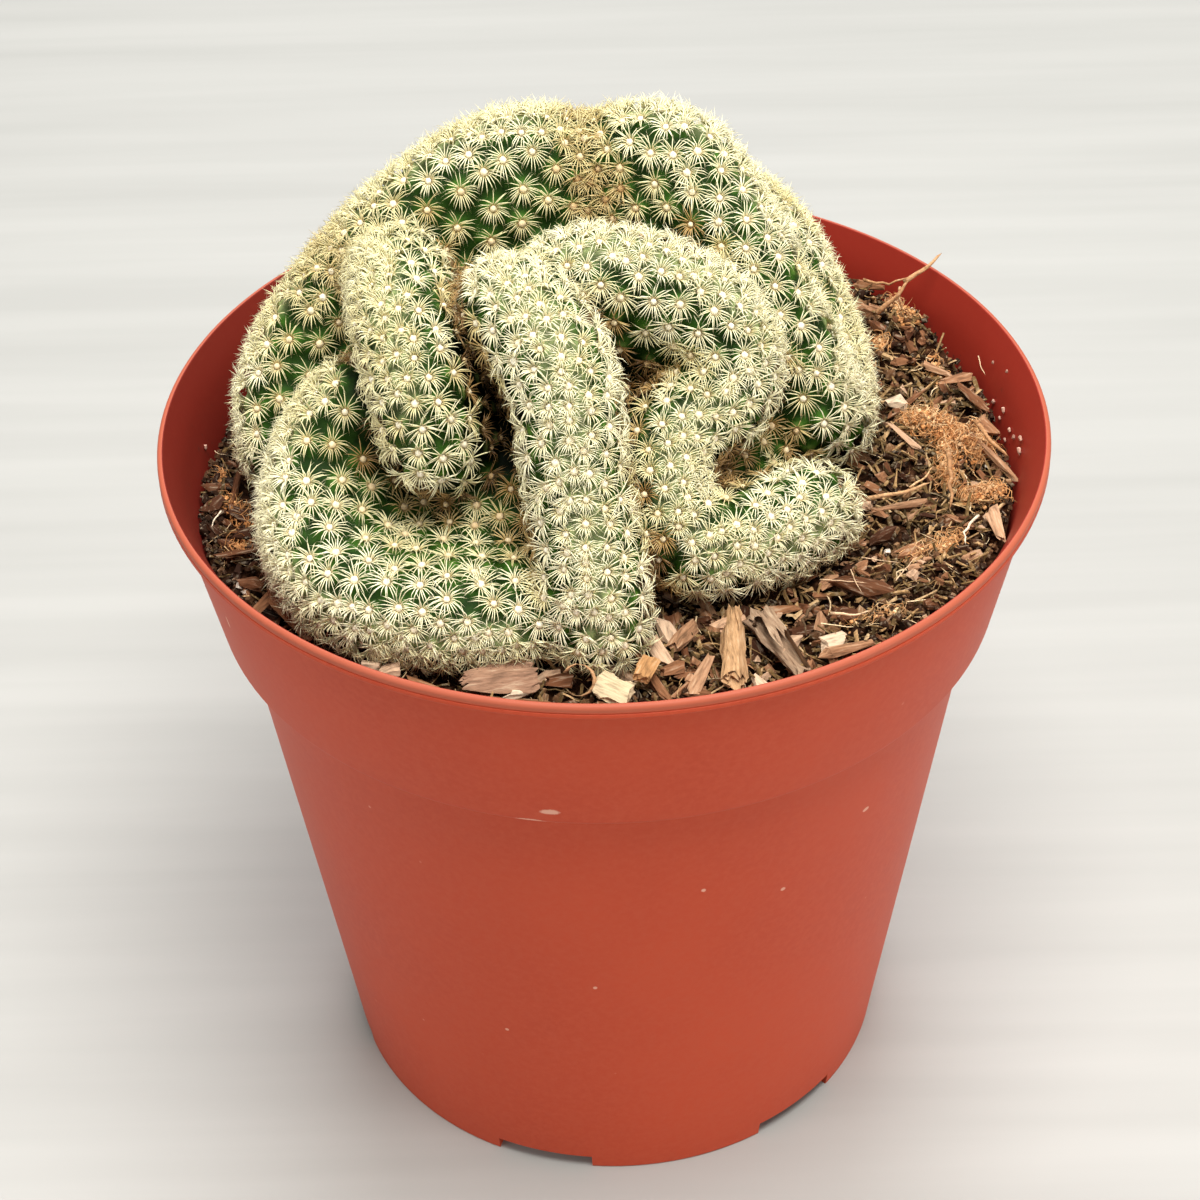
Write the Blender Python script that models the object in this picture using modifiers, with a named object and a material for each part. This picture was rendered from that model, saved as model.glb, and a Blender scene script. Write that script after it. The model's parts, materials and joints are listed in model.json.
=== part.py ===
# Potted brain cactus: a crested cactus in a moulded nursery pot of bark and coir mix.
# The frame is the pot's: origin at the centre of its foot, +Z up, metres.

import math
import random

import bmesh
import bpy
import numpy as np
from mathutils import Matrix, Vector
from mathutils.bvhtree import BVHTree
from mathutils.kdtree import KDTree

MM = 0.001
SEAT_GAP = 0.3 * MM

# Pot
RIM_RADIUS = 52.5 * MM
POT_HEIGHT = 94.0 * MM
LIP_HEIGHT = 1.8 * MM
COLLAR_TOP_RADIUS = 51.3 * MM
COLLAR_FOOT_RADIUS = 47.6 * MM
COLLAR_FOOT_Z = 72.5 * MM
BODY_TOP_RADIUS = 45.1 * MM
BODY_TOP_Z = 71.4 * MM
FOOT_RADIUS = 35.4 * MM
WALL = 1.2 * MM
FOOT_RING = 1.8 * MM
BASE_UNDERSIDE_Z = 2.4 * MM
BASE_TOP_Z = 3.9 * MM
BASE_FILLET = 1.5 * MM
STEP_ROUND = 0.8 * MM
LIP_ROUND = 0.6 * MM
POT_STEPS = 48
DRAIN_RADIUS = 3.5 * MM
DRAIN_CIRCLE = 22.0 * MM
DRAIN_COUNT = 5
FOOT_GAP_CENTRES = (-106, -49, 11, 71, 131, 191)
FOOT_GAP_WIDTH = 12.5 * MM
FOOT_GAP_HEIGHT = 2.2 * MM

# Potting mix
SOIL_LEVEL = 85.3 * MM
SOIL_STEPS = 44
SOIL_RINGS = 13
SOIL_UNDER_PLANT = 0.5 * MM
SOIL_PROBE = 1.3 * MM
SOIL_SLOPE = (0.02, 0.012)
SOIL_WAVE_HEIGHTS = (0.7 * MM, 0.4 * MM)
CHIP_COUNT = 28
CHIP_SMALLEST = (2.0 * MM, 1.3 * MM, 1.6 * MM)
CHIP_LARGEST = (6.5 * MM, 2.6 * MM, 2.4 * MM)
CHIP_CLEARANCE = 5 * MM
CHIP_LEAST_AREA_SHARE = 0.3
CHIP_TIP = 0.3
CHIP_RAGGEDNESS = 0.3 * MM
CHIP_RISE = 0.1 * MM

# Loose pieces: name, material, colour, size, place, turn and tilt in degrees, raggedness; lengths in mm
LOOSE_PIECES = (
    ("wood_splinter", "split_wood", (0.50, 0.28, 0.13), (13.5, 3, 2.2), (13.6, -37), 91, 6, 0.15),
    ("bark_shard", "weathered_bark", (0.30, 0.22, 0.16), (10.5, 3.2, 2), (18.8, -34.5), -64, 4, 0.2),
    ("bark_slab", "flat_bark", (0.38, 0.18, 0.11), (8.5, 4, 1.6), (-11.5, -38.5), 8, 2, 0.15),
    ("cream_chip", "pale_wood", (0.70, 0.50, 0.28), (4.5, 3.2, 2.4), (0.5, -41.5), -25, 8, 0.2),
    ("orange_chip", "orange_bark", (0.50, 0.22, 0.10), (3.6, 2.4, 1.8), (5.5, -40), 60, 5, 0.15),
)
WOOD_ROUGHNESS = 0.85
WOOD_BEVEL_SHARE = 0.22
DROP_HEIGHT = 110 * MM
SETTLE_STEP = 0.25 * MM
TUFT_PLACE = (40.5 * MM, -1 * MM)
TUFT_HEART = Vector((3.6, 3.0, 2.0)) * MM
FIBRE_COUNT = 18
FIBRE_SHORTEST = 4.0 * MM
FIBRE_LONGEST = 5.2 * MM
FIBRE_START = 0.8 * MM
FIBRE_ROOT_RADIUS = 0.45 * MM
FIBRE_TIP_RADIUS = 0.1 * MM

# Plant: the growing lines of the crest, as x, y, z and radius in millimetres
OUTER_CREST = (
    (-37.5, 0, 90.5, 5.0), (-37.5, 3.5, 95.5, 5.1), (-35.5, 6.5, 100, 5.1), (-32, 8.5, 104.5, 5.1),
    (-28, 9.5, 109, 5.1), (-24, 10.5, 113, 5.1), (-19, 12, 116.5, 5.1), (-13.5, 14, 119, 5.2),
    (-7.5, 15.5, 120, 5.2), (-1, 16, 118.5, 4.6), (5, 15.5, 120, 5.3), (9.5, 13.5, 119.5, 5.5),
    (12.5, 11, 116.5, 5.5), (16, 7, 112, 5.5), (18.5, 4, 107, 5.5), (21.5, 2.5, 101.5, 5.5),
    (24, 0.5, 95, 5.4),
)
RIGHT_BACK_CREST = (
    (26.5, 3, 91, 5.1), (26.5, 7.5, 93.5, 5.1), (25, 12, 97, 5.1), (23, 15, 101, 5.1),
    (20.5, 18, 105, 5.1), (15.5, 21.5, 108.5, 5.1), (9, 24, 109.5, 5.1), (2, 25.5, 109, 5.1),
    (-3.5, 28.5, 106, 5.1), (-7, 31.5, 101, 5.1), (-8.5, 33.5, 95, 5.0),
)
LEFT_BACK_CREST = (
    (-10.5, 24, 108, 4.9), (-16.5, 22.5, 105.5, 5.0), (-22, 20, 101.5, 5.1), (-28, 17, 96.5, 5.1),
    (-31, 18, 92, 5.1), (-28, 24, 91, 5.1), (-22, 28.5, 93.5, 5.1), (-17.5, 30.5, 97, 4.8),
)
LOW_BACK_CREST = (
    (1.5, 34, 92.5, 4.9), (2.5, 32.5, 98, 5.0), (6.5, 30.5, 100.5, 5.1), (11.5, 28, 100.5, 5.1),
    (16, 25, 98.5, 5.1), (20, 21.5, 95, 5.0), (21.5, 21.5, 91, 4.8),
)
LEFT_FINGER = (
    (-24, 7, 109, 4.6), (-23, 1, 113, 4.9), (-22, -6.5, 114, 5.0), (-20.5, -13, 112.5, 5.1),
    (-19, -17.5, 109, 5.0), (-18, -19.5, 104.5, 4.8),
)
MIDDLE_CREST = (
    (-3, -28.5, 98.5, 4.8), (-3.5, -26.5, 102, 4.9), (-4, -24, 107, 5.0), (-4.5, -21, 111, 5.1),
    (-6, -17.5, 114, 5.3), (-8.5, -13, 115.5, 5.5), (-10.5, -8.5, 115, 5.0), (-8, -4.5, 111.5, 4.0),
    (-3, -3.5, 115, 5.0), (1, -3.5, 115, 5.1), (5.5, -3.5, 114, 5.1), (9.5, -4, 112, 5.1),
    (13, -5, 109.5, 4.9), (15, -7, 106, 4.8), (13.5, -9.5, 103, 4.8), (10, -12, 101.5, 4.8),
    (7, -15, 100, 4.9), (6, -18.5, 97.5, 5.0), (7, -21.5, 94.5, 5.0), (11, -23, 92, 5.0),
    (17, -21, 91.5, 5.0), (23.5, -16, 91, 4.8),
)
FRONT_CREST = (
    (-28, -9, 103, 4.5), (-31.5, -11, 98.5, 4.9), (-33, -15.5, 95, 5.1), (-32.5, -21.5, 92.5, 5.1),
    (-29, -26.5, 91, 5.1), (-23, -30, 91, 5.1), (-16, -31, 91, 5.1), (-9.5, -32, 91, 5.0),
    (-2, -33, 90.5, 4.8),
)
CROWN = Vector((-5, 1, 80)) * MM
FRONT_CROWN = Vector((-9, -8, 88)) * MM
FAN_STEPS = (0.0, 0.12, 0.24, 0.36, 0.48, 0.6, 0.72)
# Each growing line, the point that its fan of tissue runs down to, and how fast the fan thins
CRESTS = (
    (OUTER_CREST, CROWN, 0.4),
    (RIGHT_BACK_CREST, CROWN, 0.5),
    (LEFT_BACK_CREST, CROWN, 0.6),
    (LOW_BACK_CREST, CROWN, 0.6),
    (LEFT_FINGER, CROWN, 0.8),
    (MIDDLE_CREST, CROWN, 0.85),
    (FRONT_CREST, FRONT_CROWN, 0.35),
)
CORE_CENTRE = Vector((-5, 0, 88)) * MM
CORE_SIZE = Vector((27, 24, 15)) * MM
VOXEL = 0.9 * MM
BODY_TRIANGLES = 3200
AREOLE_SPACING = 6.0 * MM
AREOLE_LOWEST_Z = 87.5 * MM
AREOLE_LOWEST_FACING = -0.55
TUBERCLE_HEIGHT = 1.0 * MM
TUBERCLE_RADIUS = 2.9 * MM
SPINE_LENGTH = 3.0 * MM
SPINE_RADIUS = 0.28 * MM
SPINE_ROOT = 1.0 * MM
SPINE_RING = 1.0 * MM
SPINES_PER_AREOLE = 4
SPINE_LEAN = math.radians(50)
SPINE_GROUND_CLEARANCE = 0.8 * MM
ABOVE_PLANT = 200 * MM
PLANT_TOP = 125 * MM
TOUCH_DISTANCE = 0.0005 * MM
TOUCH_GAP = 0.003 * MM
SEED = 7


def clear_scene():
    for item in list(bpy.data.objects):
        bpy.data.objects.remove(item, do_unlink=True)


def new_collection(name):
    group = bpy.data.collections.new(name)
    bpy.context.scene.collection.children.link(group)
    return group


def material(name, colour, roughness):
    mat = bpy.data.materials.new(name)
    mat.use_nodes = True
    shader = mat.node_tree.nodes["Principled BSDF"]
    shader.inputs["Base Color"].default_value = (*colour, 1.0)
    shader.inputs["Roughness"].default_value = roughness
    shader.inputs["Metallic"].default_value = 0.0
    return mat


def add_object(name, mesh, group, mat=None):
    item = bpy.data.objects.new(name, mesh)
    group.objects.link(item)
    if mat:
        mesh.materials.clear()
        mesh.materials.append(mat)
    return item


def mesh_from(bm, name):
    mesh = bpy.data.meshes.new(name)
    bm.to_mesh(mesh)
    bm.free()
    return mesh


def evaluated_mesh(item):
    """The object's mesh with its modifiers applied, as a mesh of its own."""
    depsgraph = bpy.context.evaluated_depsgraph_get()
    return bpy.data.meshes.new_from_object(item.evaluated_get(depsgraph))


def apply_modifiers(item):
    mesh = evaluated_mesh(item)
    item.modifiers.clear()
    item.data = mesh


def add_boolean(item, other, operation, solver="EXACT"):
    cut = item.modifiers.new(operation.title(), "BOOLEAN")
    cut.operation = operation
    cut.solver = solver
    if isinstance(other, bpy.types.Collection):
        cut.operand_type = "COLLECTION"
        cut.collection = other
    else:
        cut.object = other
    return cut


def mark_cutter(item):
    item.hide_render = True
    item.display_type = "WIRE"


def turned(name, profile, steps, group, mat):
    """A solid of revolution from a profile in x and z that starts and ends on the axis."""
    bm = bmesh.new()
    verts = [bm.verts.new((x, 0, z)) for x, z in profile]
    for first, second in zip(verts, verts[1:]):
        bm.edges.new((first, second))
    item = add_object(name, mesh_from(bm, name), group, mat)
    screw = item.modifiers.new("Turn", "SCREW")
    screw.steps = steps
    screw.render_steps = steps
    screw.use_merge_vertices = True
    screw.merge_threshold = 0.00001
    screw.use_smooth_shade = True
    return item


def keep_largest_body(mesh):
    """Drop loose scraps and sealed hollows: only the largest connected body stays."""
    bm = bmesh.new()
    bm.from_mesh(mesh)
    bodies = []
    left = set(bm.verts)
    while left:
        seed = left.pop()
        body = {seed}
        edge_of_search = [seed]
        while edge_of_search:
            vert = edge_of_search.pop()
            for edge in vert.link_edges:
                other = edge.other_vert(vert)
                if other in left:
                    left.remove(other)
                    body.add(other)
                    edge_of_search.append(other)
        bodies.append(body)
    bodies.sort(key=len, reverse=True)
    scraps = [vert for body in bodies[1:] for vert in body]
    bmesh.ops.delete(bm, geom=scraps, context="VERTS")
    bm.to_mesh(mesh)
    bm.free()


def triangulate(mesh):
    bm = bmesh.new()
    bm.from_mesh(mesh)
    bmesh.ops.triangulate(bm, faces=bm.faces)
    bm.to_mesh(mesh)
    bm.free()


def tree_of(mesh):
    bm = bmesh.new()
    bm.from_mesh(mesh)
    tree = BVHTree.FromBMesh(bm)
    bm.free()
    return tree


# Pot

def wall_radius(z):
    """The inner radius of the pot at a height."""
    if z > BODY_TOP_Z:
        share = (z - COLLAR_FOOT_Z) / (POT_HEIGHT - LIP_HEIGHT - COLLAR_FOOT_Z)
        return COLLAR_FOOT_RADIUS - WALL + share * (COLLAR_TOP_RADIUS - COLLAR_FOOT_RADIUS)
    return FOOT_RADIUS - WALL + z / BODY_TOP_Z * (BODY_TOP_RADIUS - FOOT_RADIUS)


def pot_profile():
    lip_foot = POT_HEIGHT - LIP_HEIGHT
    step_inner_z = COLLAR_FOOT_Z + WALL
    ring_inner = FOOT_RADIUS - FOOT_RING
    return (
        (0, BASE_TOP_Z),
        (wall_radius(BASE_TOP_Z) - BASE_FILLET, BASE_TOP_Z),
        (wall_radius(BASE_TOP_Z), BASE_TOP_Z + BASE_FILLET),
        (BODY_TOP_RADIUS - WALL, BODY_TOP_Z),
        (wall_radius(step_inner_z) - STEP_ROUND, step_inner_z),
        (wall_radius(step_inner_z), step_inner_z + STEP_ROUND),
        (wall_radius(lip_foot), lip_foot),
        (COLLAR_TOP_RADIUS - WALL + LIP_ROUND, POT_HEIGHT - LIP_ROUND / 2),
        (COLLAR_TOP_RADIUS - WALL + 2 * LIP_ROUND, POT_HEIGHT),
        (RIM_RADIUS - LIP_ROUND, POT_HEIGHT),
        (RIM_RADIUS, POT_HEIGHT - LIP_ROUND),
        (RIM_RADIUS, lip_foot + 0.4 * MM),
        (RIM_RADIUS - 0.4 * MM, lip_foot),
        (COLLAR_TOP_RADIUS, lip_foot),
        (COLLAR_FOOT_RADIUS, COLLAR_FOOT_Z + STEP_ROUND),
        (COLLAR_FOOT_RADIUS - STEP_ROUND, COLLAR_FOOT_Z),
        (BODY_TOP_RADIUS, BODY_TOP_Z),
        (FOOT_RADIUS + 0.3 * MM, 2.5 * MM),
        (FOOT_RADIUS, 0),
        (ring_inner, 0),
        (ring_inner - 0.3 * MM, BASE_UNDERSIDE_Z),
        (0, BASE_UNDERSIDE_Z),
    )


def pot_cutter(group):
    """Drainage holes through the base, and the shallow gaps in the foot ring."""
    bm = bmesh.new()
    for i in range(DRAIN_COUNT):
        turn = math.tau * i / DRAIN_COUNT
        place = Vector((math.cos(turn), math.sin(turn), 0)) * DRAIN_CIRCLE
        place.z = BASE_TOP_Z / 2
        bmesh.ops.create_cone(
            bm, cap_ends=True, segments=16, radius1=DRAIN_RADIUS, radius2=DRAIN_RADIUS,
            depth=3 * BASE_TOP_Z, matrix=Matrix.Translation(place))
    for centre in FOOT_GAP_CENTRES:
        turn = Matrix.Rotation(math.radians(centre), 4, "Z")
        shift = Matrix.Translation((FOOT_RADIUS, 0, 0))
        size = Matrix.Diagonal((6 * MM, FOOT_GAP_WIDTH, 2 * FOOT_GAP_HEIGHT, 1))
        bmesh.ops.create_cube(bm, size=1, matrix=turn @ shift @ size)
    cutter = add_object("pot_cutter", mesh_from(bm, "pot_cutter"), group)
    mark_cutter(cutter)
    return cutter


def make_pot(parts, cutters):
    clay = material("terracotta_plastic", (0.45, 0.08, 0.04), 0.45)
    pot = turned("pot", pot_profile(), POT_STEPS, parts, clay)
    add_boolean(pot, pot_cutter(cutters), "DIFFERENCE")
    return pot


# Plant

def fan_point(point, crown, taper, fraction):
    """A crest point and its radius, drawn in towards the crown by a fraction of the way."""
    x, y, z, radius = point
    place = (Vector((x, y, z)) * MM).lerp(crown, fraction)
    return place, radius * MM * (1 - taper * fraction)


def crest_tube(crest, crown, taper, fraction, group):
    """One layer of a crest's fan, as a tube."""
    curve = bpy.data.curves.new("crest", "CURVE")
    curve.dimensions = "3D"
    curve.bevel_depth = 1.0
    curve.bevel_resolution = 3
    curve.resolution_u = 5
    curve.use_fill_caps = True
    spline = curve.splines.new("BEZIER")
    spline.bezier_points.add(len(crest) - 1)
    for bezier, point in zip(spline.bezier_points, crest):
        bezier.co, bezier.radius = fan_point(point, crown, taper, fraction)
        bezier.handle_left_type = "AUTO"
        bezier.handle_right_type = "AUTO"
    item = bpy.data.objects.new("crest", curve)
    group.objects.link(item)
    mesh = evaluated_mesh(item)
    bpy.data.objects.remove(item)
    return mesh


def plant_form(group):
    """The whole crest as overlapping tubes, end balls and a core, before they are fused."""
    bm = bmesh.new()
    for crest, crown, taper in CRESTS:
        for fraction in FAN_STEPS:
            bm.from_mesh(crest_tube(crest, crown, taper, fraction, group))
            for end in (crest[0], crest[-1]):
                place, radius = fan_point(end, crown, taper, fraction)
                bmesh.ops.create_uvsphere(
                    bm, u_segments=14, v_segments=10, radius=radius, matrix=Matrix.Translation(place))
    core = Matrix.Translation(CORE_CENTRE) @ Matrix.Diagonal((*CORE_SIZE, 1))
    bmesh.ops.create_uvsphere(bm, u_segments=32, v_segments=20, radius=1, matrix=core)
    bmesh.ops.remove_doubles(bm, verts=bm.verts, dist=0.000001)
    return mesh_from(bm, "plant_form")


def areole_places(mesh, draw):
    """Seeded points of the upper surface, at least one areole spacing apart."""
    places = np.array([vert.co for vert in mesh.vertices])
    normals = np.array([vert.normal for vert in mesh.vertices])
    free = (places[:, 2] > AREOLE_LOWEST_Z) & (normals[:, 2] > AREOLE_LOWEST_FACING)
    order = list(range(len(places)))
    draw.shuffle(order)
    chosen = []
    for index in order:
        if free[index]:
            chosen.append(index)
            free &= np.linalg.norm(places - places[index], axis=1) > AREOLE_SPACING
    return places, normals, chosen


def raise_tubercles(mesh, draw):
    """Swell the skin into a low round bump at each areole, and give the areoles' places."""
    places, normals, chosen = areole_places(mesh, draw)
    lift = np.zeros(len(places))
    for index in chosen:
        away = np.linalg.norm(places - places[index], axis=1)
        bump = np.cos(np.clip(away / TUBERCLE_RADIUS, 0, 1) * math.pi / 2) ** 2
        facing = normals @ normals[index] > 0
        lift = np.maximum(lift, bump * facing)
    moved = places + normals * lift[:, None] * TUBERCLE_HEIGHT
    mesh.vertices.foreach_set("co", moved.ravel())
    mesh.update()
    return [Vector(moved[index]) for index in chosen]


def plant_body(group):
    """The fused, smoothed and thinned body of the plant, with the places of its areoles."""
    body = add_object("cactus", plant_form(group), group)
    remesh = body.modifiers.new("Fuse", "REMESH")
    remesh.mode = "VOXEL"
    remesh.voxel_size = VOXEL
    smooth = body.modifiers.new("Smooth", "SMOOTH")
    smooth.factor = 0.5
    smooth.iterations = 6
    apply_modifiers(body)
    keep_largest_body(body.data)
    areoles = raise_tubercles(body.data, random.Random(SEED))
    triangulate(body.data)
    thin = body.modifiers.new("Thin", "DECIMATE")
    thin.ratio = BODY_TRIANGLES / len(body.data.polygons)
    apply_modifiers(body)
    return body, areoles


def spread_faces(vert):
    """Up to SPINES_PER_AREOLE of the faces round a vertex, evenly spread, as directions."""
    side = vert.normal.orthogonal().normalized()
    up = vert.normal.cross(side)
    sectors = []
    for face in vert.link_faces:
        outward = face.calc_center_median() - vert.co
        flat = outward - vert.normal * outward.dot(vert.normal)
        turn = math.atan2(flat.dot(up), flat.dot(side))
        sectors.append((turn, outward.normalized(), flat.normalized()))
    sectors.sort(key=lambda sector: sector[0])
    count = min(SPINES_PER_AREOLE, len(sectors))
    return [sectors[round(i * len(sectors) / count) % len(sectors)][1:] for i in range(count)]


def star_mesh(vert, draw, skin, fits):
    """The spines of one areole: slim three-sided cones that lean out all round."""
    bm = bmesh.new()
    for outward, flat in spread_faces(vert):
        direction = vert.normal * math.cos(SPINE_LEAN) + flat * math.sin(SPINE_LEAN)
        base = vert.co + outward * SPINE_RING
        reach = SPINE_LENGTH * draw.uniform(0.85, 1.05)
        meets_skin = skin.ray_cast(base + direction * SPINE_RADIUS, direction, reach + SPINE_RADIUS)[0]
        if meets_skin or not fits(base + direction * reach):
            continue
        foot = base - direction * SPINE_ROOT
        length = SPINE_ROOT + reach
        aim = direction.to_track_quat("Z", "Y").to_matrix().to_4x4()
        place = Matrix.Translation(foot + direction * length / 2) @ aim
        bmesh.ops.create_cone(
            bm, cap_ends=True, segments=3, radius1=SPINE_RADIUS, radius2=0, depth=length, matrix=place)
    if not bm.verts:
        bm.free()
        return None
    return mesh_from(bm, "star")


def part_touching_points(mesh):
    """Open a hair's gap where two points of the skin meet without being joined."""
    bm = bmesh.new()
    bm.from_mesh(mesh)
    bm.normal_update()
    near = KDTree(len(bm.verts))
    for vert in bm.verts:
        near.insert(vert.co, vert.index)
    near.balance()
    bm.verts.ensure_lookup_table()
    for vert in bm.verts:
        for place, index, distance in near.find_range(vert.co, TOUCH_DISTANCE):
            other = bm.verts[index]
            if index > vert.index and not any(edge.other_vert(vert) == other for edge in vert.link_edges):
                vert.co -= vert.normal * TOUCH_GAP
                other.co -= other.normal * TOUCH_GAP
    bm.to_mesh(mesh)
    bm.free()


def fuse_collection(item, group):
    """Join every object of a collection to the item, and remove them."""
    add_boolean(item, group, "UNION", "MANIFOLD")
    apply_modifiers(item)
    for other in list(group.objects):
        bpy.data.objects.remove(other)
    bpy.data.collections.remove(group)
    keep_largest_body(item.data)
    part_touching_points(item.data)


def add_spines(body, areoles, fits):
    """Fuse each areole's spines to the skin, at the vertex that tops its tubercle."""
    draw = random.Random(SEED)
    bm = bmesh.new()
    bm.from_mesh(body.data)
    bm.normal_update()
    tops = KDTree(len(bm.verts))
    for vert in bm.verts:
        tops.insert(vert.co, vert.index)
    tops.balance()
    bm.verts.ensure_lookup_table()
    skin = tree_of(body.data)
    stars = new_collection("stars")
    for index in sorted({tops.find(place)[1] for place in areoles}):
        mesh = star_mesh(bm.verts[index], draw, skin, fits)
        if mesh:
            add_object("star", mesh, stars)
    bm.free()
    fuse_collection(body, stars)


# Potting mix

def open_ground(x, y):
    """Height of the mix where nothing stands on it."""
    u = x / MM
    v = y / MM
    slope = SOIL_SLOPE[0] * x + SOIL_SLOPE[1] * y
    broad = SOIL_WAVE_HEIGHTS[0] * math.sin(0.21 * u + 0.5) * math.cos(0.17 * v - 0.3)
    narrow = SOIL_WAVE_HEIGHTS[1] * math.sin(0.38 * u - 0.29 * v)
    return SOIL_LEVEL + slope + broad + narrow


def ground_under(tree, x, y):
    """Height of the mix, pressed down to just below the plant where it stands."""
    level = open_ground(x, y)
    probe = SOIL_PROBE
    for dx, dy in ((0, 0), (probe, 0), (-probe, 0), (0, probe), (0, -probe)):
        hit = tree.ray_cast(Vector((x + dx, y + dy, 0)), Vector((0, 0, 1)))
        if hit[0]:
            level = min(level, hit[0].z - SOIL_UNDER_PLANT)
    return level


def soil_profile():
    bottom = BASE_TOP_Z + SEAT_GAP
    rim = wall_radius(SOIL_LEVEL) - SEAT_GAP
    top = [(rim * i / SOIL_RINGS, SOIL_LEVEL) for i in range(SOIL_RINGS)]
    collar_z = COLLAR_FOOT_Z + 3.5 * MM
    step_z = COLLAR_FOOT_Z + WALL
    low_z = BASE_TOP_Z + 4 * MM
    side = [
        (rim, SOIL_LEVEL),
        (wall_radius(collar_z) - SEAT_GAP, collar_z),
        (wall_radius(step_z) - 1.3 * MM, step_z + 0.4 * MM),
        (BODY_TOP_RADIUS - WALL - 0.4 * MM, BODY_TOP_Z + 0.2 * MM),
        (wall_radius(low_z) - SEAT_GAP, low_z),
        (wall_radius(BASE_TOP_Z) - 2 * MM, bottom),
        (0, bottom),
    ]
    return top + side


def scatter_chips(soil, tree, draw):
    """Small chips of bark and grit fused to the mix, their lower halves sunk in it."""
    chips = new_collection("chips")
    placed = 0
    while placed < CHIP_COUNT:
        turn = draw.uniform(0, math.tau)
        radius = math.sqrt(draw.uniform(CHIP_LEAST_AREA_SHARE, 1)) * (wall_radius(SOIL_LEVEL) - CHIP_CLEARANCE)
        place = Vector((radius * math.cos(turn), radius * math.sin(turn), 0))
        if tree.ray_cast(place, Vector((0, 0, 1)), PLANT_TOP)[0]:
            continue
        place.z = open_ground(place.x, place.y)
        if tree.find_nearest(place)[3] < CHIP_CLEARANCE:
            continue
        size = [draw.uniform(least, most) for least, most in zip(CHIP_SMALLEST, CHIP_LARGEST)]
        spin = Matrix.Rotation(draw.uniform(0, math.pi), 4, "Z")
        tip = Matrix.Rotation(draw.uniform(-CHIP_TIP, CHIP_TIP), 4, "Y")
        lift = Matrix.Translation(place + Vector((0, 0, CHIP_RISE)))
        bm = bmesh.new()
        bmesh.ops.create_cube(bm, size=1, matrix=lift @ spin @ tip @ Matrix.Diagonal((*size, 1)))
        for vert in bm.verts:
            vert.co.x += draw.uniform(-CHIP_RAGGEDNESS, CHIP_RAGGEDNESS)
            vert.co.y += draw.uniform(-CHIP_RAGGEDNESS, CHIP_RAGGEDNESS)
        add_object("chip", mesh_from(bm, "chip"), chips)
        placed += 1
    fuse_collection(soil, chips)


def make_soil(parts, body):
    mix = material("potting_mix", (0.10, 0.06, 0.035), 0.95)
    soil = turned("soil", soil_profile(), SOIL_STEPS, parts, mix)
    apply_modifiers(soil)
    tree = tree_of(body.data)
    for vert in soil.data.vertices:
        if abs(vert.co.z - SOIL_LEVEL) < 0.01 * MM:
            vert.co.z = ground_under(tree, vert.co.x, vert.co.y)
            reach = math.hypot(vert.co.x, vert.co.y)
            limit = wall_radius(vert.co.z) - SEAT_GAP
            if reach > limit:
                vert.co.x *= limit / reach
                vert.co.y *= limit / reach
    triangulate(soil.data)
    scatter_chips(soil, tree, random.Random(SEED + 1))
    return soil


# Loose pieces on the mix

def settle(item, ground):
    """Lower a piece straight down until it is one seat gap above the ground."""
    down = Vector((0, 0, -1))
    drop = 1.0
    for vert in item.data.vertices:
        hit = ground.ray_cast(vert.co, down)
        if hit[0]:
            drop = min(drop, hit[3])
    piece = tree_of(item.data)
    low = min(vert.co.z for vert in item.data.vertices)
    xs = [vert.co.x for vert in item.data.vertices]
    ys = [vert.co.y for vert in item.data.vertices]
    for x in np.arange(min(xs), max(xs), SETTLE_STEP):
        for y in np.arange(min(ys), max(ys), SETTLE_STEP):
            under = piece.ray_cast(Vector((x, y, low - 1 * MM)), Vector((0, 0, 1)))
            if under[0]:
                hit = ground.ray_cast(under[0] - Vector((0, 0, 0.001 * MM)), down)
                if hit[0]:
                    drop = min(drop, hit[3])
    for vert in item.data.vertices:
        vert.co.z -= drop - SEAT_GAP


def wood_chip(parts, ground, name, slot, colour, size, place, turn, tilt, raggedness):
    """A split piece of wood or bark: a long box, cut across, with torn edges."""
    draw = random.Random(name)
    ragged = raggedness * MM
    size = Vector(size) * MM
    bm = bmesh.new()
    bmesh.ops.create_cube(bm, size=1)
    bmesh.ops.scale(bm, vec=size, verts=bm.verts)
    bmesh.ops.bevel(bm, geom=bm.edges[:], offset=min(size) * WOOD_BEVEL_SHARE, segments=1, affect="EDGES")
    long_edges = [edge for edge in bm.edges if edge.calc_length() > 0.45 * max(size)]
    bmesh.ops.subdivide_edges(bm, edges=long_edges, cuts=2, use_grid_fill=True)
    for vert in bm.verts:
        vert.co += Vector([draw.uniform(-ragged, ragged) for axis in range(3)])
    bmesh.ops.triangulate(bm, faces=bm.faces)
    spin = Matrix.Rotation(math.radians(turn), 4, "Z") @ Matrix.Rotation(math.radians(tilt), 4, "Y")
    lift = Matrix.Translation((place[0] * MM, place[1] * MM, DROP_HEIGHT))
    bmesh.ops.transform(bm, matrix=lift @ spin, verts=bm.verts)
    item = add_object(name, mesh_from(bm, name), parts, material(slot, colour, WOOD_ROUGHNESS))
    settle(item, ground)


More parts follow.
